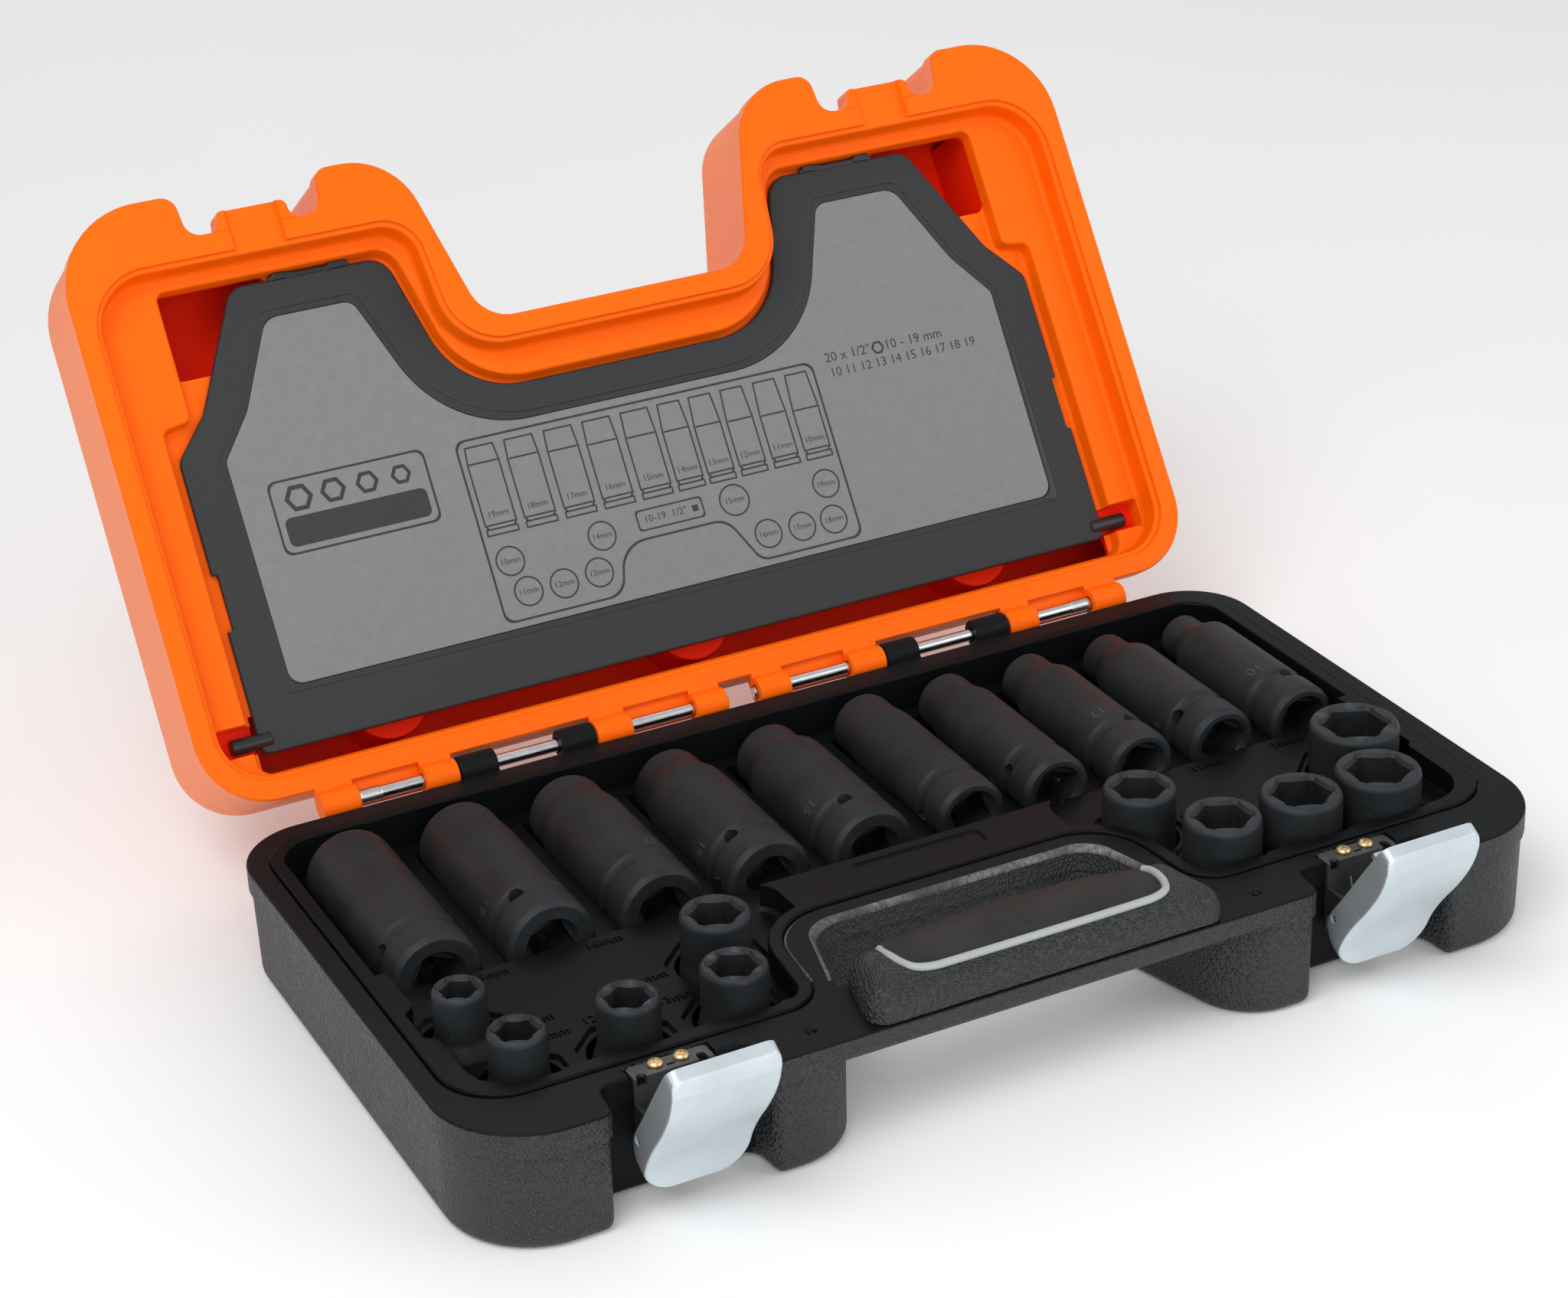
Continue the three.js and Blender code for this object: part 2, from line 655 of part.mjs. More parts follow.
// ---------------------------------------------------------------- panel
function lidPanel() {
  const plate = prism(PANEL_OUTLINE, PANEL_Z, PANEL_Z + PANEL_THICKNESS);
  const additions = [-1, 1].flatMap((side) => {
    const stub = span(side, 163, 174.5);
    const tab = span(side, 88, 117);
    return [
      bar("x", stub[0], stub[1], PANEL_AXIS.y, PANEL_AXIS.z, PANEL_STUB_RADIUS),
      box(tab[0], tab[1], -182.4, -180, PANEL_Z, PANEL_Z + 1.6),
    ];
  });
  const labelField = prism(inset(LABEL_OUTLINE, -GAP), PANEL_Z - 1, PANEL_Z + 1.2);
  const fingerNotches = [-1, 1].map((side) => {
    const [from, to] = span(side, 162.5, 166);
    return box(from, to, -86, -66, PANEL_Z - 1, PANEL_Z + PANEL_THICKNESS + 1);
  });
  return cut(join([plate, ...additions]), [labelField, ...fingerNotches]);
}

function panelLabel() {
  return prism(LABEL_OUTLINE, PANEL_Z + 0.1, PANEL_Z + 0.9);
}

// ---------------------------------------------------------------- sockets
// A socket stands on its drive end: a square hole below, a hexagon above and a relief bore between.
function socketBody(profile, length, size, crossHole) {
  const hexRadius = (size + 0.15) / Math.sqrt(3);
  const across = DRIVE_SQUARE / 2;
  return cut(turned(profile, SOCKET_SIDES), [
    bar("z", length - HEX_DEPTH, length + 1, 0, 0, hexRadius, 6),
    bar("z", DRIVE_DEPTH - 1, length - HEX_DEPTH + 1, 0, 0, reliefRadius(size), 8),
    box(-across, across, -across, across, -1, DRIVE_DEPTH),
    bar("x", -20, 20, 0, crossHole, CROSS_HOLE_RADIUS, 6),
  ]);
}

function deepSocket(size) {
  const drive = deepDriveRadius(size);
  const hex = hexEndRadius(size);
  const profile = [
    [0, 0],
    [drive - 1, 0],
    [drive, 1],
    [drive, 11.5],
    [drive - 1, 14.2],
    [drive, 17],
    [drive, 59.5],
    [hex, 68.5],
    [hex, DEEP_LENGTH - 1],
    [hex - 1, DEEP_LENGTH],
    [0, DEEP_LENGTH],
  ];
  return socketBody(profile, DEEP_LENGTH, size, 14.2);
}

function shortSocket(size) {
  const drive = shortDriveRadius(size);
  const hex = hexEndRadius(size);
  const profile = [
    [0, 0],
    [drive - 0.8, 0],
    [drive, 0.8],
    [drive, 14],
    [hex, 22],
    [hex, SHORT_LENGTH - 1],
    [hex - 1, SHORT_LENGTH],
    [0, SHORT_LENGTH],
  ];
  return socketBody(profile, SHORT_LENGTH, size, 8);
}

// ---------------------------------------------------------------- assembly
const set = new THREE.Group();
set.name = "socket_set";
set.position.set(0, HINGE_Y, BASE_HEIGHT);

place(set, "case_base", caseBase(), blackPlastic());
place(set, "socket_tray", socketTray(), trayPlastic());
place(set, "handle_cover", handleCover(), blackPlastic());
place(set, "handle_grip", handleGrip(), gripRubber());
place(set, "grip_trim", gripTrim(TRIM_RADIUS), trimPlastic());

for (const [name, side] of [["left", -1], ["right", 1]]) {
  place(set, `hinge_pin_${name}`, hingePin(side), chromedSteel());
  place(set, `latch_bracket_${name}`, latchBracket(side), platedSteel());
  place(set, `latch_pin_${name}`, latchPin(side), platedSteel());
  place(set, `latch_spring_${name}`, latchSpring(side), platedSteel());
  latchPlaces(side).forEach((x, i) => {
    place(set, `latch_screw_${name}_${i + 1}`, latchScrew(x), yellowZinc());
  });
  const lever = place(set, `latch_lever_${name}`, latchLever(), silverPaint());
  lever.position.set(side * LATCH_X, LEVER_PIN.y, LEVER_PIN.z);
  lever.rotation.x = THREE.MathUtils.degToRad(LEVER_REST_ANGLE);
}

for (const { size, x, spin } of DEEP_SOCKETS) {
  const socket = place(set, `deep_socket_${size}mm`, deepSocket(size), phosphatedSteel());
  socket.position.set(x, DEEP_DRIVE_Y, DEEP_TOP - deepDriveRadius(size));
  socket.rotation.set(-Math.PI / 2, 0, THREE.MathUtils.degToRad(spin));
}

for (const { size, x, y } of SHORT_SOCKETS) {
  const socket = place(set, `short_socket_${size}mm`, shortSocket(size), phosphatedSteel());
  socket.position.set(x, y, SHORT_BOTTOM);
}

const lid = new THREE.Group();
lid.name = "lid";
lid.rotation.x = -THREE.MathUtils.degToRad(LID_OPEN_ANGLE);
set.add(lid);
place(lid, "lid_shell", lidShell(), orangePlastic());
place(lid, "lid_panel", lidPanel(), panelPlastic());
place(lid, "panel_label", panelLabel(), labelSheet());

export default set;
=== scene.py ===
"""Looks for the socket wrench set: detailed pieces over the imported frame, their materials, the light and
the camera. Shapes are written in millimetres from the lid's hinge axis, as in the CAD model."""
import json
import math

import bmesh
import bpy
from mathutils import Matrix, Vector


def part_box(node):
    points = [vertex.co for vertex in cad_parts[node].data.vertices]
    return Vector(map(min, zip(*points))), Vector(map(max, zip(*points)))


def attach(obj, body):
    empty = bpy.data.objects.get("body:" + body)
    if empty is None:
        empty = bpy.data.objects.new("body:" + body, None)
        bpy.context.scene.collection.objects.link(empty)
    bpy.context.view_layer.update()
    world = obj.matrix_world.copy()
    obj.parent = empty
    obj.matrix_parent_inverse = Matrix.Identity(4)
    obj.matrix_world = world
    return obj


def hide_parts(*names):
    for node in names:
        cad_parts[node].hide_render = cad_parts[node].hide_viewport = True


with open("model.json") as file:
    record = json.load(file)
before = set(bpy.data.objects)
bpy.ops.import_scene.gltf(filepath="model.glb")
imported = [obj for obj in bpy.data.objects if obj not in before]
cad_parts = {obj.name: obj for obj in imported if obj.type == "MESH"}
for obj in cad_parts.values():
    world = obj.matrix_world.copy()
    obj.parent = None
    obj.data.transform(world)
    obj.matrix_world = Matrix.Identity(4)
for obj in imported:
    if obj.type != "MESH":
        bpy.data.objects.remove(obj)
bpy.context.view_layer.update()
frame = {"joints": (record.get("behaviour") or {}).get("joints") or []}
MM = 0.001
JOINTS = {joint["name"]: joint for joint in frame["joints"]}


# ---------------------------------------------------------------- places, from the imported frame
def joint_place(name):
    return Vector(JOINTS[name]["pos_m"])


HINGE = joint_place("lid_hinge")
LID_ANGLE = math.radians(-JOINTS["lid_hinge"]["range_deg"][0])
LEVER_ANGLE = math.radians(-JOINTS["latch_left_hinge"]["range_deg"][0])
IN_CASE = Matrix.Translation(HINGE) @ Matrix.Diagonal((MM, MM, MM, 1))
IN_LID = Matrix.Translation(HINGE) @ Matrix.Rotation(-LID_ANGLE, 4, "X") @ Matrix.Diagonal((MM, MM, MM, 1))
LATCH_X = joint_place("latch_right_hinge").x / MM
LEVER_PIN_Y = (joint_place("latch_right_hinge").y - HINGE.y) / MM
LEVER_PIN_Z = (joint_place("latch_right_hinge").z - HINGE.z) / MM
BASE_LOW, BASE_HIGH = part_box("case_base")
HALF = BASE_HIGH.x / MM
BASE_HEIGHT = HINGE.z / MM
REAR = -6.0
FRONT = (BASE_LOW.y - HINGE.y) / MM
LID_HEIGHT = 48.0
NOTCH_BACK = -149.0
RECESS_HALF = 23.5
RECESS_BACK = -197.5
SIDES = (("left", -1), ("right", 1))


# ---------------------------------------------------------------- outlines and solids
def mirrored(half):
    return list(half) + [(-x, y, r) for x, y, r in reversed(half)]


def left_normal(a, b):
    dx, dy = b[0] - a[0], b[1] - a[1]
    length = math.hypot(dx, dy)
    return -dy / length, dx / length


def inset(corners, distance):
    """The outline moved inward by a distance, or outward where it is negative."""
    moved = []
    for i, (x, y, r) in enumerate(corners):
        bx, by = left_normal(corners[i - 1], corners[i])
        ax, ay = left_normal(corners[i], corners[(i + 1) % len(corners)])
        scale = distance / (1 + bx * ax + by * ay)
        turn = bx * ay - by * ax
        radius = max(r - math.copysign(distance, turn), 0.2) if r else 0
        moved.append((x + (bx + ax) * scale, y + (by + ay) * scale, radius))
    return moved


def loop_points(corners, steps):
    """The outline as points, each corner an arc of its own number of steps."""
    points = []
    for i, (x, y, r) in enumerate(corners):
        if not steps[i]:
            points.append((x, y))
            continue
        bx, by = left_normal(corners[i - 1], corners[i])
        ax, ay = left_normal(corners[i], corners[(i + 1) % len(corners)])
        turn = math.copysign(1, bx * ay - by * ax)
        reach = r * turn / (1 + bx * ax + by * ay)
        cx, cy = x + (bx + ax) * reach, y + (by + ay) * reach
        start = math.atan2(-by * turn, -bx * turn)
        sweep = math.atan2(-ay * turn, -ax * turn) - start
        if turn > 0 and sweep < 0:
            sweep += 2 * math.pi
        if turn < 0 and sweep > 0:
            sweep -= 2 * math.pi
        for k in range(steps[i] + 1):
            angle = start + sweep * k / steps[i]
            points.append((cx + r * math.cos(angle), cy + r * math.sin(angle)))
    return points


def arc_steps(corners):
    return [0 if r == 0 else 3 if r < 1.5 else 5 if r < 5 else 8 if r < 12 else 14 for _, _, r in corners]


def mesh_object(name, points, faces, place=None):
    mesh = bpy.data.meshes.new(name)
    mesh.from_pydata(points, [], faces)
    if place is not None:
        mesh.transform(place)
    obj = bpy.data.objects.new(name, mesh)
    bpy.context.scene.collection.objects.link(obj)
    return obj


def loft(corners, levels, name="loft"):
    """A solid whose outline is inset by its own distance at each height: levels are (z, inset)."""
    steps = arc_steps(corners)
    loops = [loop_points(inset(corners, distance), steps) for _, distance in levels]
    count = len(loops[0])
    points = [(x, y, levels[i][0]) for i, loop in enumerate(loops) for x, y in loop]
    faces = [list(range(count))[::-1]]
    for level in range(len(loops) - 1):
        low = level * count
        for i in range(count):
            j = (i + 1) % count
            faces.append((low + i, low + j, low + count + j, low + count + i))
    top = (len(loops) - 1) * count
    faces.append([top + i for i in range(count)])
    return mesh_object(name, points, faces)


def prism(corners, z0, z1, name="prism"):
    return loft(corners, [(z0, 0), (z1, 0)], name)


def rounded(z, inset_at, radius, upward, steps=4):
    """Levels that round an edge at height z, from the wall (inset_at) to the flat face."""
    levels = []
    for k in range(steps + 1):
        angle = math.pi / 2 * k / steps
        rise = radius * (1 - math.sin(angle))
        move = radius * (1 - math.cos(angle))
        levels.append((z - rise if upward else z + rise, inset_at + move))
    return levels if upward else levels[::-1]


def box(x0, x1, y0, y1, z0, z1, name="box"):
    points = [(x, y, z) for x in (x0, x1) for y in (y0, y1) for z in (z0, z1)]
    faces = [(0, 1, 3, 2), (4, 6, 7, 5), (0, 4, 5, 1), (2, 3, 7, 6), (0, 2, 6, 4), (1, 5, 7, 3)]
    return mesh_object(name, points, faces)


AXES = {
    "x": Matrix(((0, 0, 1), (1, 0, 0), (0, 1, 0))).to_4x4(),
    "y": Matrix(((0, 1, 0), (0, 0, 1), (1, 0, 0))).to_4x4(),
    "z": Matrix.Identity(4),
}


def turned(profile, sides, axis="z", centre=(0, 0, 0), name="turned", phase=0.0):
    """A turned solid: profile is (radius, height) along the axis. It starts and ends on the axis."""
    rings = [(r, h) for r, h in profile if r > 0]
    points = [(0, 0, profile[0][1])]
    for r, h in rings:
        for k in range(sides):
            angle = 2 * math.pi * k / sides + phase
            points.append((r * math.cos(angle), r * math.sin(angle), h))
    points.append((0, 0, profile[-1][1]))
    last = len(points) - 1
    faces = []
    for k in range(sides):
        n = (k + 1) % sides
        faces.append((0, 1 + n, 1 + k))
        for ring in range(len(rings) - 1):
            a = 1 + ring * sides
            faces.append((a + k, a + n, a + sides + n, a + sides + k))
        a = 1 + (len(rings) - 1) * sides
        faces.append((a + k, a + n, last))
    return mesh_object(name, points, faces, Matrix.Translation(centre) @ AXES[axis])


def bar(axis, start, end, a, b, radius, sides=32, name="bar"):
    centre = {"x": (0, a, b), "y": (a, 0, b), "z": (a, b, 0)}[axis]
    return turned([(0, start), (radius, start), (radius, end), (0, end)], sides, axis, centre, name)


def drawn(axis, corners, start, end, name="drawn"):
    """A profile drawn out: in (y, z) along x, or in (x, z) along y."""
    loop = loop_points(corners, arc_steps(corners))
    count = len(loop)
    if axis == "x":
        points = [(at, u, w) for at in (start, end) for u, w in loop]
    else:
        points = [(u, at, w) for at in (end, start) for u, w in loop]
    faces = [list(range(count))[::-1], list(range(count, 2 * count))]
    for i in range(count):
        j = (i + 1) % count
        faces.append((i, j, count + j, count + i))
    return mesh_object(name, points, faces)


def wire(points, radius, sides=10, closed_ends=True, name="wire", samples=8):
    """A round wire along a smooth curve through a list of points."""
    knots = [Vector(p) for p in points]
    path = []
    for i in range(len(knots) - 1):
        p0, p1, p2 = knots[max(i - 1, 0)], knots[i], knots[i + 1]
        p3 = knots[min(i + 2, len(knots) - 1)]
        for k in range(samples):
            t = k / samples
            path.append(0.5 * (2 * p1 + (p2 - p0) * t + (2 * p0 - 5 * p1 + 4 * p2 - p3) * t * t
                               + (3 * p1 - p0 - 3 * p2 + p3) * t ** 3))
    path.append(knots[-1])
    side = (path[1] - path[0]).orthogonal().normalized()
    vertices = []
    for i, p in enumerate(path):
        ahead = (path[min(i + 1, len(path) - 1)] - path[max(i - 1, 0)]).normalized()
        side = (side - ahead * side.dot(ahead)).normalized()
        across = ahead.cross(side)
        for k in range(sides):
            angle = 2 * math.pi * k / sides
            vertices.append(p + radius * (math.cos(angle) * side + math.sin(angle) * across))
    faces = [list(range(sides))[::-1], [len(vertices) - sides + k for k in range(sides)]]
    for i in range(len(path) - 1):
        for k in range(sides):
            n = (k + 1) % sides
            a = i * sides
            faces.append((a + k, a + n, a + sides + n, a + sides + k))
    return mesh_object(name, [tuple(v) for v in vertices], faces)


# ---------------------------------------------------------------- cutting, joining and finishing
def join_meshes(objs, name="joined"):
    """Several objects' meshes in one object, without any boolean. They don't overlap."""
    whole = bmesh.new()
    for obj in objs:
        whole.from_mesh(obj.data)
    mesh = bpy.data.meshes.new(name)
    whole.to_mesh(mesh)
    whole.free()
    for obj in objs:
        bpy.data.objects.remove(obj)
    result = bpy.data.objects.new(name, mesh)
    bpy.context.scene.collection.objects.link(result)
    return result


def combine(obj, tool, operation):
    modifier = obj.modifiers.new("combine", "BOOLEAN")
    modifier.operation = operation
    modifier.solver = "MANIFOLD"
    modifier.object = tool
    evaluated = obj.evaluated_get(bpy.context.evaluated_depsgraph_get())
    mesh = bpy.data.meshes.new_from_object(evaluated)
    obj.modifiers.clear()
    old = obj.data
    obj.data = mesh
    bpy.data.meshes.remove(old)
    bpy.data.objects.remove(tool)
    return obj


def cut(obj, *tools):
    for tool in tools:
        combine(obj, tool, "DIFFERENCE")
    return obj


def add(obj, *tools):
    for tool in tools:
        combine(obj, tool, "UNION")
    return obj


def common(obj, tool):
    return combine(obj, tool, "INTERSECT")


def soften(obj, width, segments=2, angle=35):
    """Rounds the sharp edges of a solid by a small radius, in millimetres."""
    mesh = bmesh.new()
    mesh.from_mesh(obj.data)
    bmesh.ops.remove_doubles(mesh, verts=mesh.verts, dist=0.004)
    bmesh.ops.dissolve_limit(mesh, angle_limit=math.radians(1.0), verts=mesh.verts, edges=mesh.edges)
    mesh.to_mesh(obj.data)
    mesh.free()
    modifier = obj.modifiers.new("soften", "BEVEL")
    modifier.width = width
    modifier.segments = segments
    modifier.limit_method = "ANGLE"
    modifier.angle_limit = math.radians(angle)
    modifier.use_clamp_overlap = True
    modifier.miter_outer = "MITER_ARC"
    return bake(obj)


def split_concave(obj):
    """Splits concave faces, such as a floor that runs between troughs, into convex ones."""
    mesh = bmesh.new()
    mesh.from_mesh(obj.data)
    bmesh.ops.connect_verts_concave(mesh, faces=mesh.faces)
    mesh.to_mesh(obj.data)
    mesh.free()
    return obj


def bake(obj):
    evaluated = obj.evaluated_get(bpy.context.evaluated_depsgraph_get())
    mesh = bpy.data.meshes.new_from_object(evaluated)
    obj.modifiers.clear()
    old = obj.data
    obj.data = mesh
    bpy.data.meshes.remove(old)
    return obj


def finish_piece(obj, name, body, materials, nodes=(), place=IN_CASE, angle=32, pick=None):
    """Puts a piece in the frame, smooths it, gives its faces their materials and lets it ride."""
    obj.name = name
    obj.data.name = name
    picked = [pick(face.center, face.normal) if pick else 0 for face in obj.data.polygons]
    obj.data.transform(place)
    obj.data.materials.clear()
    for material in materials:
        obj.data.materials.append(material)
    obj.data.polygons.foreach_set("material_index", picked)
    obj.data.shade_smooth()
    obj.data.set_sharp_from_angle(angle=math.radians(angle))
    modifier = obj.modifiers.new("normals", "WEIGHTED_NORMAL")
    modifier.keep_sharp = True
    modifier.weight = 80
    bake(obj)
    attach(obj, body)
    if nodes:
        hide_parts(*nodes)
    return obj


# ---------------------------------------------------------------- materials
def new_material(name):
    material = bpy.data.materials.new(name)
    material.use_nodes = True
    tree = material.node_tree
    return material, tree, tree.nodes["Principled BSDF"]


def node(tree, kind, inputs=None, **settings):
    made = tree.nodes.new(kind)
    for key, value in settings.items():
        setattr(made, key, value)
    for key, value in (inputs or {}).items():
        if isinstance(value, bpy.types.NodeSocket):
            tree.links.new(value, made.inputs[key])
        else:
            made.inputs[key].default_value = value
    return made


def object_coordinates(tree):
    return node(tree, "ShaderNodeTexCoord").outputs["Object"]


def noise(tree, vector, scale, detail=3.0, roughness=0.55, distortion=0.0):
    made = node(tree, "ShaderNodeTexNoise", {"Vector": vector, "Scale": scale, "Detail": detail,
                                             "Roughness": roughness, "Distortion": distortion})
    return made


def ramp(tree, factor, stops):
    made = node(tree, "ShaderNodeValToRGB", {"Fac": factor})
    elements = made.color_ramp.elements
    while len(elements) < len(stops):
        elements.new(0.5)
    for element, (place, colour) in zip(elements, stops):
        element.position = place
        element.color = colour if len(colour) == 4 else (*colour, 1)
    return made.outputs["Color"]


def maths(tree, operation, a, b=0.0, c=None, clamp=False):
    made = node(tree, "ShaderNodeMath", operation=operation, use_clamp=clamp)
    for i, value in enumerate((a, b, c)):
        if value is None:
            continue
        if isinstance(value, bpy.types.NodeSocket):
            tree.links.new(value, made.inputs[i])
        else:
            made.inputs[i].default_value = value
    return made.outputs[0]


def grey_ramp(tree, factor, low, high, start=0.0, end=1.0):
    made = node(tree, "ShaderNodeMapRange", {"Value": factor, "From Min": start, "From Max": end,
                                             "To Min": low, "To Max": high})
    return made.outputs["Result"]


def mix_colour(tree, factor, a, b):
    made = node(tree, "ShaderNodeMix", data_type="RGBA")
    for key, value in (("Factor", factor), (6, a), (7, b)):
        target = made.inputs[key]
        if isinstance(value, bpy.types.NodeSocket):
            tree.links.new(value, target)
        elif key == "Factor":
            target.default_value = value
        else:
            target.default_value = (*value, 1) if len(value) == 3 else value
    return made.outputs[2]


def bump(tree, height, distance, strength=1.0, below=None):
    inputs = {"Height": height, "Distance": distance, "Strength": strength}
    if below is not None:
        inputs["Normal"] = below
    return node(tree, "ShaderNodeBump", inputs).outputs["Normal"]


def shades(colour, dark, light):
    return tuple(c * dark for c in colour), tuple(min(c * light, 1) for c in colour)


def plastic(name, colour, roughness, grain=0.0, grain_size=1.2, leather=False, variation=0.12, specular=0.5,
            dust=0.0, tone_size=60.0):
    """Moulded plastic: slow tone changes, a moulded grain (grain_size in mm) and uneven gloss."""
    material, tree, shader = new_material(name)
    at = object_coordinates(tree)
    tone = noise(tree, at, 1000 / tone_size, 4, 0.6).outputs["Fac"]
    fine = noise(tree, at, 2600, 2, 0.5).outputs["Fac"]
    dark, light = shades(colour, 1 - variation, 1 + variation)
    base = ramp(tree, tone, [(0.3, dark), (0.7, light)])
    if leather:
        wander = noise(tree, at, 520 / grain_size, 3, 0.6)
        moved = node(tree, "ShaderNodeVectorMath", {0: wander.outputs["Color"], 1: (0.0005,) * 3},
                     operation="MULTIPLY").outputs[0]
        shifted = node(tree, "ShaderNodeVectorMath", {0: at, 1: moved}, operation="ADD").outputs[0]
        cells = node(tree, "ShaderNodeTexVoronoi", {"Vector": shifted, "Scale": 1000 / grain_size,
                                                    "Smoothness": 0.25}, feature="SMOOTH_F1")
        height = grey_ramp(tree, cells.outputs["Distance"], 1.0, 0.0, 0.12, 0.6)
        height = maths(tree, "ADD", height, maths(tree, "MULTIPLY", wander.outputs["Fac"], 0.45))
        # Painted highlight: the raised grain is mixed lighter in the base colour, standing in for specular flecks on
        # the grain's tops.
        painted_grain_highlight = grey_ramp(tree, height, 0.0, 1.0, 0.45, 1.2)
        base = mix_colour(tree, maths(tree, "MULTIPLY", painted_grain_highlight, 0.6), base, tuple(min(c * 2.2, 1) for c in colour))
    else:
        grains = node(tree, "ShaderNodeTexVoronoi", {"Vector": at, "Scale": 1000 / grain_size})
        height = maths(tree, "ADD", grains.outputs["Distance"], maths(tree, "MULTIPLY", fine, 0.7))
    if dust:
        specks = node(tree, "ShaderNodeTexVoronoi", {"Vector": at, "Scale": 260.0}).outputs["Distance"]
        speck = grey_ramp(tree, specks, dust, 0.0, 0.0, 0.11)
        base = mix_colour(tree, speck, base, tuple(min(c * 4 + 0.03, 1) for c in colour))
    tree.links.new(base, shader.inputs["Base Color"])
    gloss = maths(tree, "ADD", grey_ramp(tree, tone, -0.05, 0.05, 0.3, 0.7), maths(tree, "MULTIPLY_ADD", fine, 0.04, roughness))
    tree.links.new(gloss, shader.inputs["Roughness"])
    if grain:
        tree.links.new(bump(tree, height, grain * MM), shader.inputs["Normal"])
    shader.inputs["Specular IOR Level"].default_value = specular
    return material


def worn_edge(name, colour, bright):
    """A plastic edge scraped pale where a flash line was trimmed."""
    material, tree, shader = new_material(name)
    at = object_coordinates(tree)
    stretched = node(tree, "ShaderNodeMapping", {"Vector": at, "Scale": (1.0, 1.0, 0.12)}).outputs["Vector"]
    streaks = noise(tree, stretched, 900, 5, 0.7).outputs["Fac"]
    patches = noise(tree, at, 55, 3, 0.6).outputs["Fac"]
    wear = maths(tree, "MULTIPLY", grey_ramp(tree, streaks, 0.0, 1.0, 0.35, 0.65),
                 grey_ramp(tree, patches, 0.15, 1.0, 0.35, 0.6), clamp=True)
    tree.links.new(mix_colour(tree, wear, colour, bright), shader.inputs["Base Color"])
    tree.links.new(grey_ramp(tree, streaks, 0.35, 0.6), shader.inputs["Roughness"])
    tree.links.new(bump(tree, streaks, 0.12 * MM), shader.inputs["Normal"])
    return material


def phosphated(name, colour, axis_stretch=(1, 1, 1)):
    """Black phosphate on forged steel: matte, faint turning marks, rubbed edges and a few pale specks."""
    material, tree, shader = new_material(name)
    at = object_coordinates(tree)
    tone = noise(tree, at, 45, 5, 0.65).outputs["Fac"]
    fine = noise(tree, at, 3800, 3, 0.6).outputs["Fac"]
    marks = node(tree, "ShaderNodeMapping", {"Vector": at, "Scale": axis_stretch}).outputs["Vector"]
    turning = noise(tree, marks, 1400, 3, 0.6).outputs["Fac"]
    dark, light = shades(colour, 0.72, 1.35)
    base = ramp(tree, tone, [(0.3, dark), (0.72, light)])
    edge = node(tree, "ShaderNodeNewGeometry").outputs["Pointiness"]
    rubbed = maths(tree, "MULTIPLY", grey_ramp(tree, edge, 0.0, 1.0, 0.53, 0.60),
                   grey_ramp(tree, tone, 0.25, 0.9, 0.35, 0.65), clamp=True)
    base = mix_colour(tree, rubbed, base, tuple(c * 4.2 for c in colour))
    specks = node(tree, "ShaderNodeTexVoronoi", {"Vector": at, "Scale": 190.0}).outputs["Distance"]
    base = mix_colour(tree, grey_ramp(tree, specks, 0.6, 0.0, 0.0, 0.055), base, (0.22, 0.22, 0.22))
    tree.links.new(base, shader.inputs["Base Color"])
    shader.inputs["Metallic"].default_value = 0.25
    shader.inputs["Specular IOR Level"].default_value = 0.35
    tree.links.new(grey_ramp(tree, tone, 0.46, 0.6, 0.3, 0.7), shader.inputs["Roughness"])
    height = maths(tree, "ADD", maths(tree, "MULTIPLY", fine, 0.6), turning)
    tree.links.new(bump(tree, height, 0.035 * MM), shader.inputs["Normal"])
    return material


def metal(name, colour, roughness, streak_axis=(1, 1, 1), streak=0.05, variation=0.1, metallic=1.0):
    material, tree, shader = new_material(name)
    at = object_coordinates(tree)
    tone = noise(tree, at, 90, 4, 0.6).outputs["Fac"]
    stretched = node(tree, "ShaderNodeMapping", {"Vector": at, "Scale": streak_axis}).outputs["Vector"]
    lines = noise(tree, stretched, 2600, 3, 0.6).outputs["Fac"]
    dark, light = shades(colour, 1 - variation, 1 + variation)
    tree.links.new(ramp(tree, tone, [(0.3, dark), (0.7, light)]), shader.inputs["Base Color"])
    tree.links.new(grey_ramp(tree, lines, roughness - 0.06, roughness + 0.1, 0.3, 0.7), shader.inputs["Roughness"])
    tree.links.new(bump(tree, lines, streak * MM), shader.inputs["Normal"])
    shader.inputs["Metallic"].default_value = metallic
    return material


def silver_paint(name, colour, roughness, grain):
    """Metallic paint over a die casting: fine flakes, slight orange peel."""
    material, tree, shader = new_material(name)
    at = object_coordinates(tree)
    flakes = node(tree, "ShaderNodeTexVoronoi", {"Vector": at, "Scale": 5200.0}).outputs["Color"]
    flake = node(tree, "ShaderNodeSeparateColor", {"Color": flakes}).outputs[0]
    peel = noise(tree, at, 700, 2, 0.5).outputs["Fac"]
    tone = noise(tree, at, 60, 3, 0.5).outputs["Fac"]
    dark, light = shades(colour, 0.9, 1.08)
    base = ramp(tree, tone, [(0.3, dark), (0.7, light)])
    base = mix_colour(tree, maths(tree, "MULTIPLY", flake, 0.22), base, tuple(min(c * 1.5, 1) for c in colour))
    tree.links.new(base, shader.inputs["Base Color"])
    tree.links.new(grey_ramp(tree, flake, roughness - 0.06, roughness + 0.08), shader.inputs["Roughness"])
    height = maths(tree, "MULTIPLY_ADD", flake, 0.25 + grain, peel)
    tree.links.new(bump(tree, height, (0.03 + 0.05 * grain) * MM), shader.inputs["Normal"])
    shader.inputs["Metallic"].default_value = 0.45
    return material


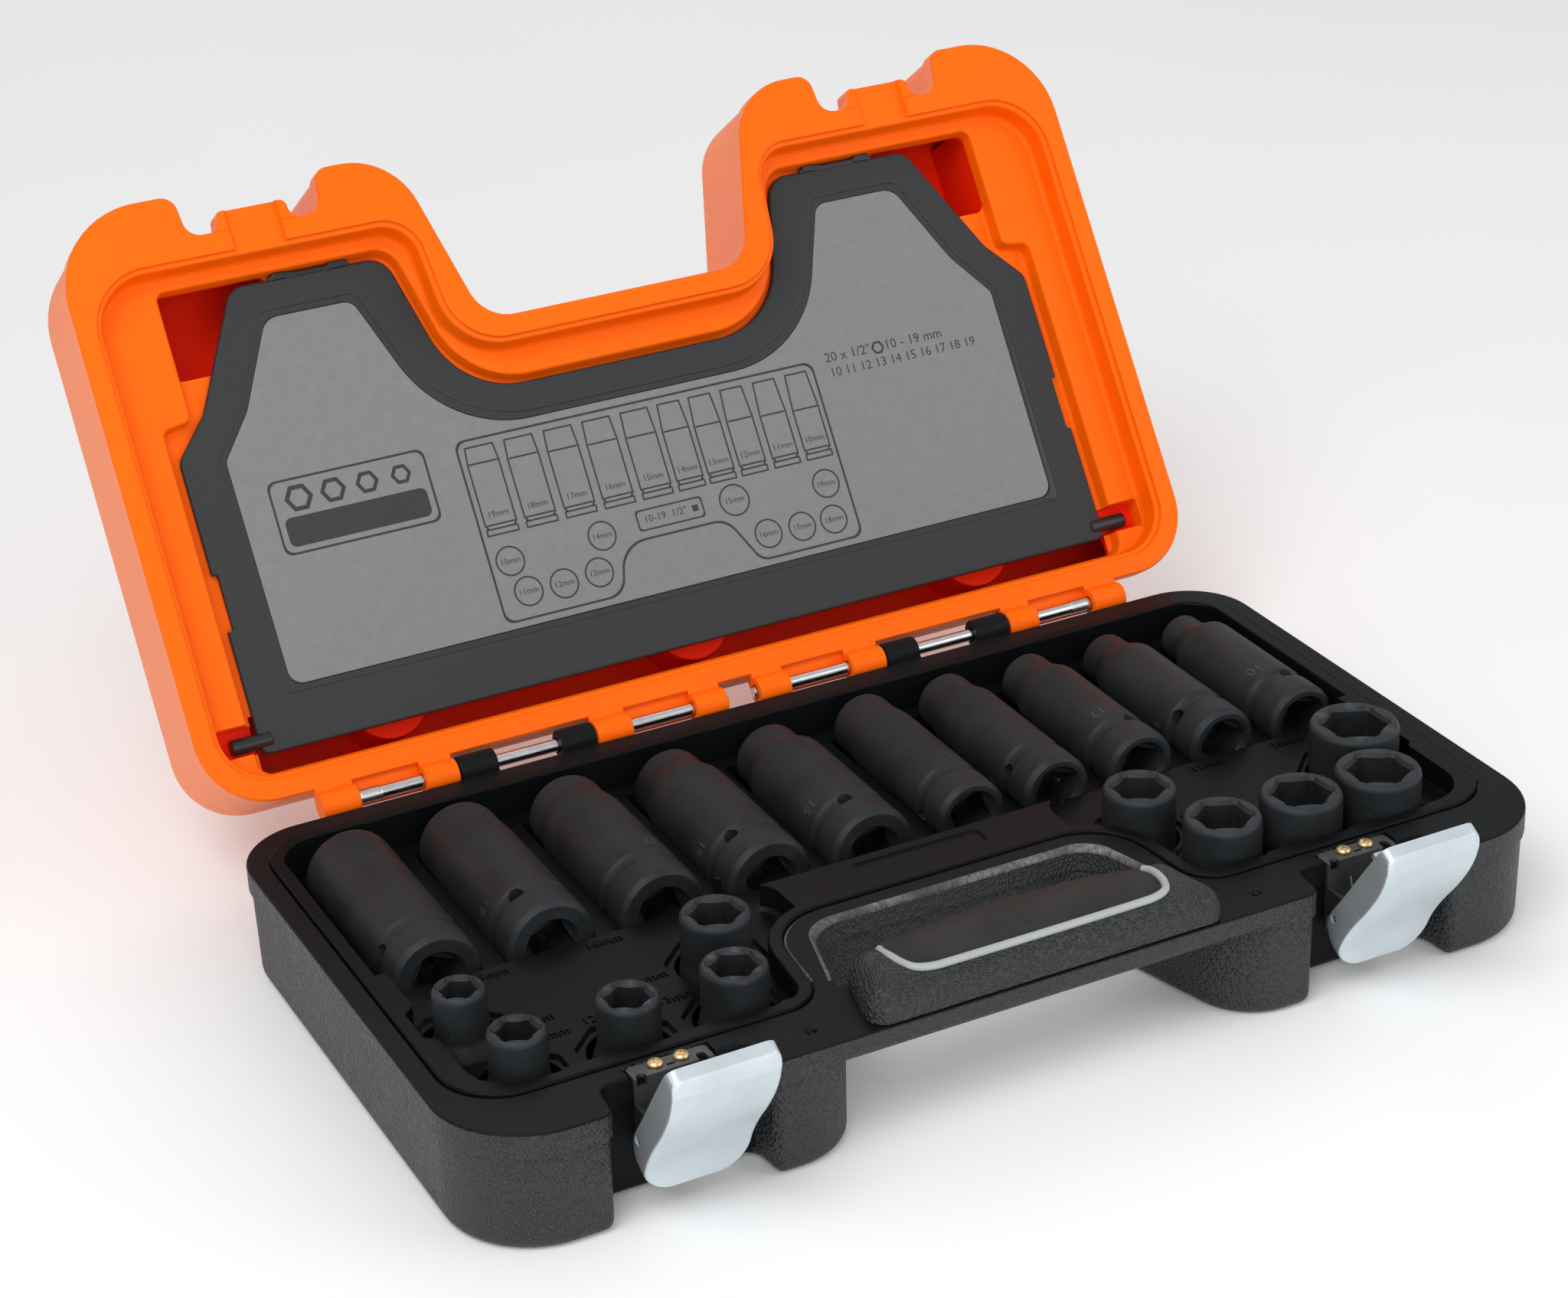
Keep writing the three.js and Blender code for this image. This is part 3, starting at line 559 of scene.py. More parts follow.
BLACK = (0.0060, 0.0074, 0.0086)
ORANGE = (1.0, 0.138, 0.0)
case_grain = plastic("case_grain", (0.016, 0.0182, 0.0204), 0.43, grain=0.8, grain_size=1.2, leather=True)
case_smooth = plastic("case_smooth", BLACK, 0.42, grain=0.006, grain_size=0.7, dust=0.12, specular=0.1)
case_worn = worn_edge("case_worn", (0.030, 0.032, 0.035), (0.22, 0.23, 0.24))
tray_black = plastic("tray_black", (0.0042, 0.0052, 0.0060), 0.36, grain=0.012, grain_size=0.9, dust=0.2,
                     specular=0.09)
grip_rubber = plastic("grip_rubber", (0.024, 0.023, 0.0225), 0.6, grain=0.03, grain_size=0.6, variation=0.3, dust=0.3, specular=0.25,
                      tone_size=18)
trim_grey = plastic("trim_grey", (0.36, 0.38, 0.385), 0.45, grain=0.01, grain_size=0.5, variation=0.05)
lid_smooth = plastic("lid_smooth", ORANGE, 0.46, grain=0.008, grain_size=0.7, variation=0.03, specular=0.14)
# The moulded grain is real, but its paler salmon colour is painted sheen: it stands in for the bright specular of the
# grained walls.
lid_grain_painted_sheen = plastic("lid_grain_painted_sheen", (1.0, 0.235, 0.075), 0.5, grain=0.26, grain_size=0.9, variation=0.08, specular=0.8,
                    dust=0.5)
# Painted shade: the deep red of the lid's inner cavity and finger recesses stands in for the darkening and red
# interreflection deep inside the orange plastic.
lid_recess_painted_shade = plastic("lid_recess_painted_shade", (1.0, 0.022, 0.0), 0.5, grain=0.01, grain_size=0.7, variation=0.06, specular=0.1)
panel_grain = plastic("panel_grain", (0.028, 0.0315, 0.034), 0.6, grain=0.06, grain_size=0.55, variation=0.07,
                      specular=0.3)
panel_smooth = plastic("panel_smooth", (0.014, 0.015, 0.0165), 0.3, grain=0.006, grain_size=0.7)
label_sheet = plastic("label_sheet", (0.185, 0.193, 0.187), 0.5, grain=0.015, grain_size=0.45, variation=0.06,
                      tone_size=4)
print_ink = plastic("print_ink", (0.022, 0.022, 0.021), 0.5, grain=0.01, grain_size=0.5)
socket_black = phosphated("socket_black", (0.0180, 0.0212, 0.0240))
pin_chrome = metal("pin_chrome", (0.75, 0.76, 0.78), 0.16, (0.1, 1, 1), 0.01)
knurl_chrome = metal("knurl_chrome", (0.66, 0.67, 0.68), 0.3, (1, 1, 1), 0.05)
# Painted shade: the plated steel is made dark to stand in for the shadow the latch bracket sits in.
plated_painted_shade = metal("plated_painted_shade", (0.10, 0.105, 0.10), 0.42, (1, 1, 1), 0.03, 0.25, 0.85)
spring_steel = metal("spring_steel", (0.55, 0.55, 0.54), 0.25, (1, 1, 1), 0.01)
zinc_gold = metal("zinc_gold", (0.78, 0.58, 0.30), 0.32, (1, 1, 1), 0.03, 0.3, 0.85)
lever_face = silver_paint("lever_face", (0.56, 0.63, 0.67), 0.36, 0.0)
# Painted shade: the lever's sides are the same silver paint made darker, standing in for the shade on the sides turned
# from the light.
lever_side_painted_shade = silver_paint("lever_side_painted_shade", (0.27, 0.29, 0.30), 0.44, 1.0)


# ---------------------------------------------------------------- outlines, from the hinge axis
CASE = mirrored([
    (50.4, NOTCH_BACK, 14), (66.6, FRONT, 24),
    (LATCH_X - RECESS_HALF - 1.5, FRONT, 4.5), (LATCH_X - RECESS_HALF, RECESS_BACK, 3.5),
    (LATCH_X + RECESS_HALF, RECESS_BACK, 3.5), (LATCH_X + RECESS_HALF + 1.5, FRONT, 4.5),
    (HALF, FRONT, 31), (HALF, REAR, 24),
])
OPENING = mirrored([(61.5, -141.5, 20), (66, -190, 14), (182.8, -190, 21), (182.8, -13, 18)])
PANEL = mirrored([
    (61, -127.5, 30), (75, -181, 9), (131, -181, 8), (152, -140, 14), (164.5, -126, 7), (164.5, -23, 3),
])
LABEL = mirrored([
    (70, -114.5, 44), (90.5, -168, 5), (122, -168, 7), (137, -138, 18), (149, -122.5, 4), (148.5, -43.5, 5),
])
POCKET = mirrored([
    (59.5, -129.3, 30), (73, -183, 9), (157.5, -183, 3), (157.5, -138, 3), (168, -136.5, 3), (168, -16, 5),
])
DECK_Z, LEDGE_Z, PANEL_Z = 11.2, 18.0, 14.8
PANEL_AXIS_Y, PANEL_AXIS_Z = -28.0, 16.2
LID_KNUCKLES = ((141.7, 155.2), (106.5, 118.6), (42.4, 56.0), (6.1, 18.4))
BASE_KNUCKLES = ((92.5, 106.2), (56.3, 69.4))
SCREW_Y = -194.7


def span(side, inner, outer):
    return (inner, outer) if side > 0 else (-outer, -inner)


# ---------------------------------------------------------------- base of the case
def hinge_knuckle(side, place, z0, z1, sides=32):
    """A rounded knuckle barrel with a web that runs back into the shell."""
    start, end = span(side, *place)
    edge = 0.9
    barrel = turned([(0, start), (5 - edge, start), (5 - 0.3, start + 0.25), (5, start + edge),
                     (5, end - edge), (5 - 0.3, end - 0.25), (5 - edge, end), (0, end)], sides, "x")
    web = box(start + 0.4, end - 0.4, -9, 0, z0, z1)
    return barrel, web


def hinge_bore(side):
    start, end = span(side, 4, 150.5)
    return bar("x", start, end, 0, 0, 2.65, 24)


def make_case_base():
    levels = rounded(-BASE_HEIGHT, 1.4, 4.0, False, 5)
    levels += [(-9.6, 0.95), (-9.0, 0.85), (-8.6, 0.35), (-8.3, 0.0)]
    levels += rounded(0, 0.0, 0.9, True, 3)
    shell = loft(CASE, levels, "case_base_look")
    bar_outline = [(-84, FRONT, 0), (84, FRONT, 0), (84, -184, 0), (-84, -184, 0)]
    add(shell, loft(bar_outline, rounded(-8, 0, 3.0, False, 4) + rounded(0, 0, 0.9, True, 3)))
    for side, place in [(s, k) for _, s in SIDES for k in BASE_KNUCKLES]:
        add(shell, *hinge_knuckle(side, place, -5, -0.3))
    cut(shell, prism(inset(CASE, 3.2), -37.8, -6.2), prism(inset(OPENING, 2.6), -7, 1))
    cut(shell, loft(OPENING, [(-2.6, 0), (-0.7, 0), (-0.2, -0.25), (0.3, -0.8)]))
    edge = [(-2.6, 0.3), (-1.9, 0), (-1.2, -0.25), (-0.6, -0.65), (-0.2, -1.2), (0, -1.8), (0.2, -2.2)]
    notch_side = 50.4 + 16.2 * 30 / (NOTCH_BACK - FRONT)
    cut(shell, loft(mirrored([(notch_side, NOTCH_BACK - 30, 0), (50.4, NOTCH_BACK, 14)]), edge))
    for _, side in SIDES:
        centre = side * LATCH_X
        cut(shell, box(centre - 14, centre + 14, RECESS_BACK - 1, -191.9, -1.7, 1))
        cut(shell, turned([(0, -4), (1.6, -4), (1.6, -0.5), (2.2, 0.2), (0, 0.2)], 24, "z", (side * 77.7, -202.2, 0)))
        for offset in (-4.2, 4.2):
            cut(shell, bar("z", -5.6, 0, centre + offset, SCREW_Y, 1.7, 16))
        cut(shell, hinge_bore(side))
    soften(shell, 0.22, 2, 40)

    def pick(centre, normal):
        inside_notch = abs(centre.x) < 64 and centre.y > -178 and centre.y < -140
        if inside_notch and centre.z > -2.3 and 0.05 < normal.z < 0.99:
            return 2
        if abs(normal.z) > 0.9 and centre.z > -2:
            return 1
        in_recess = abs(abs(centre.x) - LATCH_X) < RECESS_HALF + 1 and centre.y < -195 and centre.y > FRONT + 4
        if in_recess or (centre.y > -8 and centre.z > -6) or abs(centre.y) < 8:
            return 1
        return 0 if centre.z < -0.4 else 1

    return finish_piece(shell, "case_shell", "case", [case_grain, case_smooth, case_worn],
                        ["case_base"], pick=pick)


make_case_base()
# ---------------------------------------------------------------- socket places and sizes
SIZES = range(10, 20)
SPINS = {19: 25, 18: 66, 17: -20, 16: 60, 15: 78, 14: -20, 13: 20, 12: 112, 11: 35, 10: 105}
DEEP_LENGTH, SHORT_LENGTH = 78.0, 38.0
DRIVE_SQUARE, DRIVE_DEPTH = 12.8, 16.0


def deep_drive_radius(size):
    return 15.0 if size >= 15 else 12.5


def short_drive_radius(size):
    return 13.4 if size >= 18 else 12.4


def hex_end_radius(size):
    return 0.75 * size + 0.75


def well_radius(size):
    return max(short_drive_radius(size) + 0.8, hex_end_radius(size) + 0.5)


def deep_place(size):
    """The middle of a deep socket's drive end, in millimetres from the hinge axis."""
    low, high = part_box(f"deep_socket_{size}mm")
    middle = ((low + high) / 2 - HINGE) / MM
    return middle.x, (low.y - HINGE.y) / MM, middle.z


def short_place(size):
    low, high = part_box(f"short_socket_{size}mm")
    middle = ((low + high) / 2 - HINGE) / MM
    return middle.x, middle.y, (low.z - HINGE.z) / MM


# ---------------------------------------------------------------- lettering: plain sizes only
def text_mesh(words, height, depth, name="words"):
    """Plain sans letters, centred, standing on z = 0."""
    curve = bpy.data.curves.new(name, "FONT")
    curve.body = words
    curve.size = height * 1.38
    curve.align_x = "CENTER"
    curve.align_y = "CENTER"
    curve.resolution_u = 2
    curve.extrude = depth / 2
    obj = bpy.data.objects.new(name, curve)
    bpy.context.scene.collection.objects.link(obj)
    mesh = bpy.data.meshes.new_from_object(obj.evaluated_get(bpy.context.evaluated_depsgraph_get()))
    bpy.data.objects.remove(obj)
    bpy.data.curves.remove(curve)
    for vertex in mesh.vertices:
        vertex.co.z += depth / 2
    made = bpy.data.objects.new(name, mesh)
    bpy.context.scene.collection.objects.link(made)
    return made


def moved(obj, x=0.0, y=0.0, z=0.0, turn=None):
    matrix = Matrix.Translation((x, y, z))
    obj.data.transform(matrix @ turn if turn is not None else matrix)
    return obj


# ---------------------------------------------------------------- socket tray
TRAY_WALL, TRAY_BOTTOM, TRAY_TOP = 1.8, -30.6, 5.0


def tray_bays(grow):
    """Everything open above the tray's floors. Grown by the sheet's thickness it gives their undersides."""
    g = grow
    bays = box(-184, 184, -109 - g, -10, -12 - g, TRAY_TOP)
    add(bays, box(-62, 62, -120.5 - g, -107, -8 - g, TRAY_TOP))
    side_bay = [(48, -184.4, 10), (174.5, -184.4, 15), (174.5, -107, 0), (66, -107, 0), (50, -124, 9)]
    for corners in (side_bay, [(-x, y, r) for x, y, r in side_bay][::-1]):
        add(bays, loft(inset(corners, -g), [(-8 - g, 1.2 if not g else 0), (-6.8 - g, 0), (TRAY_TOP, 0)]))
    for size in SIZES:
        x, y, z = deep_place(size)
        radius = deep_drive_radius(size) + 0.5 + g
        y0, y1 = y - 1.8 - g, y + DEEP_LENGTH + 1.5 + g
        add(bays, bar("y", y0, y1, x, z, radius, 40), box(x - radius, x + radius, y0, y1, z, TRAY_TOP))
        x, y, z = short_place(size)
        radius, low = well_radius(size) + g, z - 0.35 - g
        well = [(0, low), (radius - 0.8, low), (radius, low + 0.8), (radius, -9.6 - g), (radius + 0.7, -8.8 - g),
                (radius + 0.7, TRAY_TOP), (0, TRAY_TOP)]
        add(bays, turned(well, 40, "z", (x, y, 0)))
        if not g:
            step = [(0, -9.3), (radius + 2.6, -9.3), (radius + 3.6, -7.9), (radius + 3.6, TRAY_TOP), (0, TRAY_TOP)]
            add(bays, turned(step, 8, "z", (x, y, 0), phase=math.pi / 8))
    return bays


def make_tray():
    lip = [(-2.2, 0.35), (-1.6, 0.0), (-0.2, 0.0)] + rounded(0.8, 0.0, 0.8, True, 4)
    tray = loft(inset(OPENING, 0.4), lip, "tray_look")
    add(tray, prism(inset(OPENING, 3.2), TRAY_BOTTOM, 0.4))
    inside = inset(OPENING, 3.2 + TRAY_WALL)
    mouth = [(TRAY_BOTTOM + 0.1, 0.0), (0.1, 0.0), (0.5, -0.15), (0.75, -0.45), (0.9, -0.8), (TRAY_TOP, -0.8)]
    cut(tray, common(tray_bays(0), loft(inside, mouth)))
    cut(tray, cut(prism(inside, TRAY_BOTTOM - 1, -TRAY_WALL), tray_bays(TRAY_WALL)))
    field = [(-23, -133, 2.2), (23, -133, 2.2), (23, -124, 2.2), (-23, -124, 2.2)]
    cut(tray, loft(field, [(0.05, 0.25), (0.35, 0.0), (0.6, 0.0), (0.9, -0.3)]))
    split_concave(soften(tray, 0.35, 2, 40))
    marks = []
    for size in SIZES:
        x, y, _ = deep_place(size)
        if abs(x) > 60:
            place = (x + (13 if x < 0 else -13), y - 9.5, -8.02)
            marks.append(moved(text_mesh(f"{size}mm", 3.6, 0.5), *place))
        x, y, _ = short_place(size)
        inward = -1 if x > 0 else 1
        offset = {10: (22, -3), 11: (17, 17), 12: (-1, 19), 13: (-12, 17), 14: (-23, 1)}.get(size if size < 15 else 29 - size)
        marks.append(moved(text_mesh(f"{size}mm", 3.6, 0.5), x + inward * offset[0], y + offset[1], -8.02))
    finish_piece(tray, "tray_sheet", "case", [tray_black], ["socket_tray"])
    finish_piece(join_meshes(marks), "tray_size_marks", "case", [tray_black])


make_tray()


# ---------------------------------------------------------------- sockets
def hex_outline(size):
    """A six-point hole whose flats bow in a little and whose corners are relieved."""
    flat = (size + 0.15) / 2
    corners = []
    for k in range(6):
        middle = math.pi / 3 * k
        for angle, lift in ((-25.5, 0.42), (-19, 0.0), (0, -0.12), (19, 0.0), (25.5, 0.42)):
            reach = flat / math.cos(math.radians(angle)) + lift
            around = middle + math.radians(angle)
            corners.append((reach * math.cos(around), reach * math.sin(around), 0))
    return corners


def bend_round(obj, radius, turn):
    """Wraps flat lettering round the z axis: its x goes round, its y along."""
    for vertex in obj.data.vertices:
        angle = vertex.co.x / radius + turn
        reach = radius + vertex.co.z
        vertex.co = (reach * math.cos(angle), reach * math.sin(angle), vertex.co.y)
    return obj


def socket_body(profile, length, size, cross_hole, hex_depth=12.0):
    """A socket standing on its drive end."""
    sides = 72
    body = turned(profile, sides)
    relief = 0.175 * size + 3
    across = DRIVE_SQUARE / 2
    hexagon = hex_outline(size)
    mouth = [(length - hex_depth, 0), (length - 1.3, 0), (length - 0.2, -0.9), (length + 0.5, -1.3)]
    cut(body, loft(hexagon, mouth))
    cut(body, bar("z", DRIVE_DEPTH - 1, length - hex_depth + 1, 0, 0, relief, 32))
    square = [(across, across, 1.2), (-across, across, 1.2), (-across, -across, 1.2), (across, -across, 1.2)]
    cut(body, prism(square, -1, DRIVE_DEPTH))
    lead_in = [(0, -0.5), (across * 1.5, -0.5), (across * 1.46, 0.0), (across * 1.2, 2.1), (0, 2.1)]
    cut(body, turned(lead_in, 40))
    cut(body, bar("x", -20, 20, 0, cross_hole, 2.6, 24))
    return body


def deep_socket(size):
    drive, hexed = deep_drive_radius(size), hex_end_radius(size)
    profile = [(0, 0), (drive - 2.1, 0), (drive - 1.5, 0.12), (drive - 0.35, 1.35), (drive - 0.06, 1.8), (drive, 2.4),
               (drive, 11.0), (drive - 0.12, 11.35), (drive - 0.75, 12.3), (drive - 1.0, 13.2), (drive - 1.0, 15.2),
               (drive - 0.75, 16.1), (drive - 0.12, 17.05), (drive, 17.4), (drive, 59.0), (drive - 0.15, 60.2),
               (hexed + 0.15, 67.6), (hexed, 69.0), (hexed, DEEP_LENGTH - 2.6), (hexed - 0.25, DEEP_LENGTH - 1.2),
               (hexed - 0.9, DEEP_LENGTH - 0.3), (hexed - 1.6, DEEP_LENGTH), (0, DEEP_LENGTH)]
    body = socket_body(profile, DEEP_LENGTH, size, 14.2)
    marks = [bend_round(moved(text_mesh(f"{size}", 4.2, 0.1), 0, 22.5, 0, Matrix.Rotation(math.pi, 4, "Z")), drive, turn)
             for turn in (math.pi * 0.78, math.pi * 1.75)]
    return join_meshes([body, *marks])


def short_socket(size):
    drive, hexed = short_drive_radius(size), hex_end_radius(size)
    foot = min(drive, 12.4) - 1.6
    profile = [(0, 0), (foot, 0), (foot + 0.9, 0.25), (drive - 0.15, 1.5), (drive, 2.2), (drive, 12.8),
               (drive + (hexed - drive) * 0.06, 14.4), (drive + (hexed - drive) * 0.94, 21.4), (hexed, 23.0),
               (hexed, SHORT_LENGTH - 2.2), (hexed - 0.2, SHORT_LENGTH - 1.2), (hexed - 0.75, SHORT_LENGTH - 0.3),
               (hexed - 1.3, SHORT_LENGTH), (0, SHORT_LENGTH)]
    return socket_body(profile, SHORT_LENGTH, size, 8.0)


def make_sockets():
    for size in SIZES:
        x, y, z = deep_place(size)
        body = deep_socket(size)
        turn = Matrix.Rotation(math.radians(-90), 4, "X") @ Matrix.Rotation(math.radians(SPINS[size]), 4, "Z")
        name = f"deep_socket_{size}mm"
        finish_piece(moved(body, x, y, z, turn), f"deep_{size}", name, [socket_black], [name])
        x, y, z = short_place(size)
        body = short_socket(size)
        name = f"short_socket_{size}mm"
        turn = Matrix.Rotation(math.radians(3 + 4 * (size % 3 - 1)), 4, "Z")
        finish_piece(moved(body, x, y, z, turn), f"short_{size}", name, [socket_black], [name])


make_sockets()


# ---------------------------------------------------------------- lid
LID_CASE = mirrored([
    (50.4, NOTCH_BACK, 14), (66.6, FRONT, 24),
    (LATCH_X - RECESS_HALF - 1.5, FRONT, 5.5), (LATCH_X - RECESS_HALF, RECESS_BACK, 5.5),
    (LATCH_X + RECESS_HALF, RECESS_BACK, 5.5), (LATCH_X + RECESS_HALF + 1.5, FRONT, 5.5),
    (HALF, FRONT, 31), (HALF, REAR, 24),
])


def contains(loop, x, y):
    """Whether a point lies inside a closed loop of points."""
    inside = False
    for i, (x1, y1) in enumerate(loop):
        x0, y0 = loop[i - 1]
        if (y0 > y) != (y1 > y) and x < (x1 - x0) * (y - y0) / (y1 - y0) + x0:
            inside = not inside
    return inside


def flared(corners, z0, depth, flare=0.8, end=1.0, draft=0.0):
    """A cutter upward from a face at z0: a rounded mouth, slightly drafted walls and rounded inner corners."""
    levels = [(z0 - 1, -flare), (z0, -flare), (z0 + 0.18 * flare, -0.5 * flare), (z0 + 0.5 * flare, -0.15 * flare)]
    levels += [(z0 + flare, 0)] + rounded(z0 + depth, draft, end, True, 3)
    return loft(corners, levels)


def make_lid_shell():
    levels = [(0.3, 0.95), (0.42, 0.62), (0.8, 0.36), (1.3, 0.1), (1.8, 0.0), (8.3, 0.0), (8.6, 0.35), (9.0, 0.85), (9.6, 0.95)]
    shell = loft(LID_CASE, levels + rounded(LID_HEIGHT - 0.2, 1.4, 4.0, True, 6), "lid_look")
    for _, side in SIDES:
        centre = side * LATCH_X
        for place in LID_KNUCKLES:
            add(shell, *hinge_knuckle(side, place, 0.3, 5))
        for inner, outer in LID_KNUCKLES[:2]:
            start, end = span(side, inner + 2, outer - 2)
            add(shell, bar("x", start, end, 4.55, -2.52, 1.0, 16))
        for inner, outer in ((118, 142.2), (17.8, 43)):
            start, end = span(side, inner, outer)
            cover = [(-8, 3.4, 0), (2.6, 3.4, 0.7), (3.2, 5, 1.3), (-8, 5, 0)]
            add(shell, drawn("x", cover, start, end))
        block = [(centre - 16, -196.8, 0), (centre - 12.9, -199.2, 4), (centre - 12.5, -204.2, 2.5),
                 (centre + 12.5, -204.2, 2.5), (centre + 12.9, -199.2, 4), (centre + 16, -196.8, 0)]
        add(shell, loft(block, [(0.3, 0.6), (0.7, 0.15), (1.2, 0), (9.2, 0), (10.8, 1.4)]))
        channel = [(centre - 8.5, -205, 0), (centre + 8.5, -205, 0), (centre + 8.5, -189, 0), (centre - 8.5, -189, 0)]
        cut(shell, loft(channel, [(-1, -0.9), (0.3, -0.9), (2.3, 0.0)]))
    roof = LID_HEIGHT - 3.2
    block = prism(inset(POCKET, -2), DECK_Z, LEDGE_Z + 2.2)
    for _, side in SIDES:
        start, end = span(side, 163, 181.5)
        add(block, box(start, end, PANEL_AXIS_Y - 8, PANEL_AXIS_Y + 6, DECK_Z - 1, LEDGE_Z + 3.5))
    room = cut(loft(LID_CASE, [(DECK_Z + 1.8, 3.2)] + rounded(roof, 4.4, 2.5, True, 3)), block)
    rim = [(-1, -0.9), (0.3, -0.9), (0.42, -0.5), (0.7, -0.15), (1.2, 0.0), (2.0, 0.05), (2.1, 0.35), (2.14, 0.7)]
    rim += [(2.3, 1.3), (2.7, 1.65), (3.3, 1.8), (3.9, 1.85)] + rounded(DECK_Z, 2.2, 2.2, True, 4)
    cut(shell, loft(OPENING, rim))
    pocket = [(DECK_Z - 1, -1.2), (DECK_Z, -1.2), (DECK_Z + 0.2, -0.6), (DECK_Z + 0.7, -0.15), (DECK_Z + 1.3, 0)]
    cut(shell, loft(POCKET, pocket + rounded(LEDGE_Z, 0.3, 1.2, True, 3)))
    cut(shell, room, prism(inset(PANEL, 5), LEDGE_Z - 1, LEDGE_Z + 4))
    cut(shell, box(-165.6, 165.6, -37, -16.6, LEDGE_Z - 1, LEDGE_Z + 4))
    walls = []
    for _, side in SIDES:
        start, end = span(side, 117.5, 157.5)
        finger = [(start, -183, 3), (end, -183, 3), (end, -153, 3), (start, -153, 3)]
        cut(shell, prism(finger, LEDGE_Z - 1, roof))
        start, end = span(side, 165, 179.5)
        stub = [(start, -34, 1.5), (end, -34, 1.5), (end, -24, 1.5), (start, -24, 1.5)]
        cut(shell, flared(stub, DECK_Z, 8.3, 0.6, 0.8), hinge_bore(side))
        start, end = span(side, 120, 159.5)
        walls.append(box(start, end, -153, -151, LEDGE_Z + 0.5, roof + 0.5))
        start, end = span(side, 157.5, 159.5)
        walls.append(box(start, end, -185, -151.5, LEDGE_Z + 0.5, roof + 0.5))
    for x in (-115, 0, 115):
        walls.append(turned([(0, 24), (12.8, 24), (13.65, 24.35), (14, 25.2), (14, roof + 1), (0, roof + 1)], 48, "z",
                            (x, -32, 0)))
    add(shell, *walls)
    split_concave(soften(shell, 0.25, 2, 40))
    skin = loop_points(inset(LID_CASE, 2.4), arc_steps(LID_CASE))

    def pick(centre, normal):
        # Faces inside the cavity between the ledge and the roof take the red painted-shade material.
        if LEDGE_Z + 0.3 < centre.z < roof + 0.1 and contains(skin, centre.x, centre.y):
            return 2
        if normal.z < -0.3 or (abs(centre.y) < 5.5 and abs(normal.x) > 0.5):
            return 0
        # The top and outer walls take the grained material with its painted sheen.
        if centre.z > LID_HEIGHT - 0.6:
            return 1
        return 0 if contains(skin, centre.x, centre.y) or abs(centre.y) < 6 else 1

    return finish_piece(shell, "lid_look", "lid", [lid_smooth, lid_grain_painted_sheen, lid_recess_painted_shade], ["lid_shell"], IN_LID, pick=pick)


def make_panel():
    thick = 2.8
    levels = rounded(PANEL_Z, 0.0, 1.0, False, 3) + rounded(PANEL_Z + thick, 0.0, 0.6, True, 2)
    plate = loft(PANEL, levels, "panel_look")
    tabs = []
    for _, side in SIDES:
        start, end = span(side, 162.5, 166)
        notch = [(start, -86, 1), (end, -86, 1), (end, -66, 1), (start, -66, 1)]
        cut(plate, prism(notch, PANEL_Z - 1, PANEL_Z + thick + 1))
        start, end = span(side, 160, 174.5)
        stub = [(0, start), (2.2, start), (2.7, start + 0.5), (2.7, end - 0.5), (2.2, end), (0, end)]
        tabs.append(turned(stub, 32, "x", (0, PANEL_AXIS_Y, PANEL_AXIS_Z)))
        start, end = span(side, 88, 117)
        low, high = PANEL_Z - 0.25, PANEL_Z + 1.9
        catch = [(start + 0.5, -182.5, 1.2), (start + 7, -182.7, 2), (start + 9, -182.1, 2), (end - 8, -182.1, 2),
                 (end - 6, -182.9, 2), (end - 0.5, -182.7, 1.2), (end + 0.8, -180.1, 0.8), (start - 0.8, -180.1, 0.8)]
        tabs.append(loft(catch, rounded(low, 0, 0.6, False, 3) + rounded(high, 0, 0.4, True, 2)))
        for at, width in ((start + 3.5, 5), (end - 4, 6.5)):
            knob = [(at - width / 2, -182.9, 0.8), (at + width / 2, -182.9, 0.8), (at + width / 2, -180.3, 0.8),
                    (at - width / 2, -180.3, 0.8)]
            tabs.append(loft(knob, rounded(low - 0.45, 0, 0.5, False, 3) + [(high - 0.2, 0)]))
    for tab in tabs:
        add(plate, tab)
    border = [(PANEL_Z - 1, -0.45), (PANEL_Z, -0.45), (PANEL_Z + 0.2, -0.1), (PANEL_Z + 0.45, 0.0)]
    cut(plate, loft(inset(LABEL, -2.4), border))
    field = [(PANEL_Z, -0.3), (PANEL_Z + 0.45, -0.3), (PANEL_Z + 0.6, 0.0), (PANEL_Z + 1.2, 0.0)]
    cut(plate, loft(inset(LABEL, -0.3), field))
    soften(plate, 0.2, 2, 45)

    def pick(centre, normal):
        at_tab = centre.y < -180.05 and 86 < abs(centre.x) < 119
        step = PANEL_Z + 0.02 < centre.z < PANEL_Z + 1.3 and contains(well, centre.x, centre.y)
        return 1 if at_tab or step or abs(centre.x) > 164.6 else 0

    well = loop_points(inset(LABEL, -3.2), arc_steps(LABEL))
    return finish_piece(plate, "panel_look", "index_panel", [panel_grain, panel_smooth],
                        ["lid_panel"], IN_LID, pick=pick)


# ---------------------------------------------------------------- label and its print
FACE_Z = PANEL_Z + 0.5
ON_LABEL = Matrix.Translation((0, 0, FACE_Z)) @ Matrix.Rotation(math.pi, 4, "X")
INK = 0.03
LINE = 0.8
THIN = 0.62


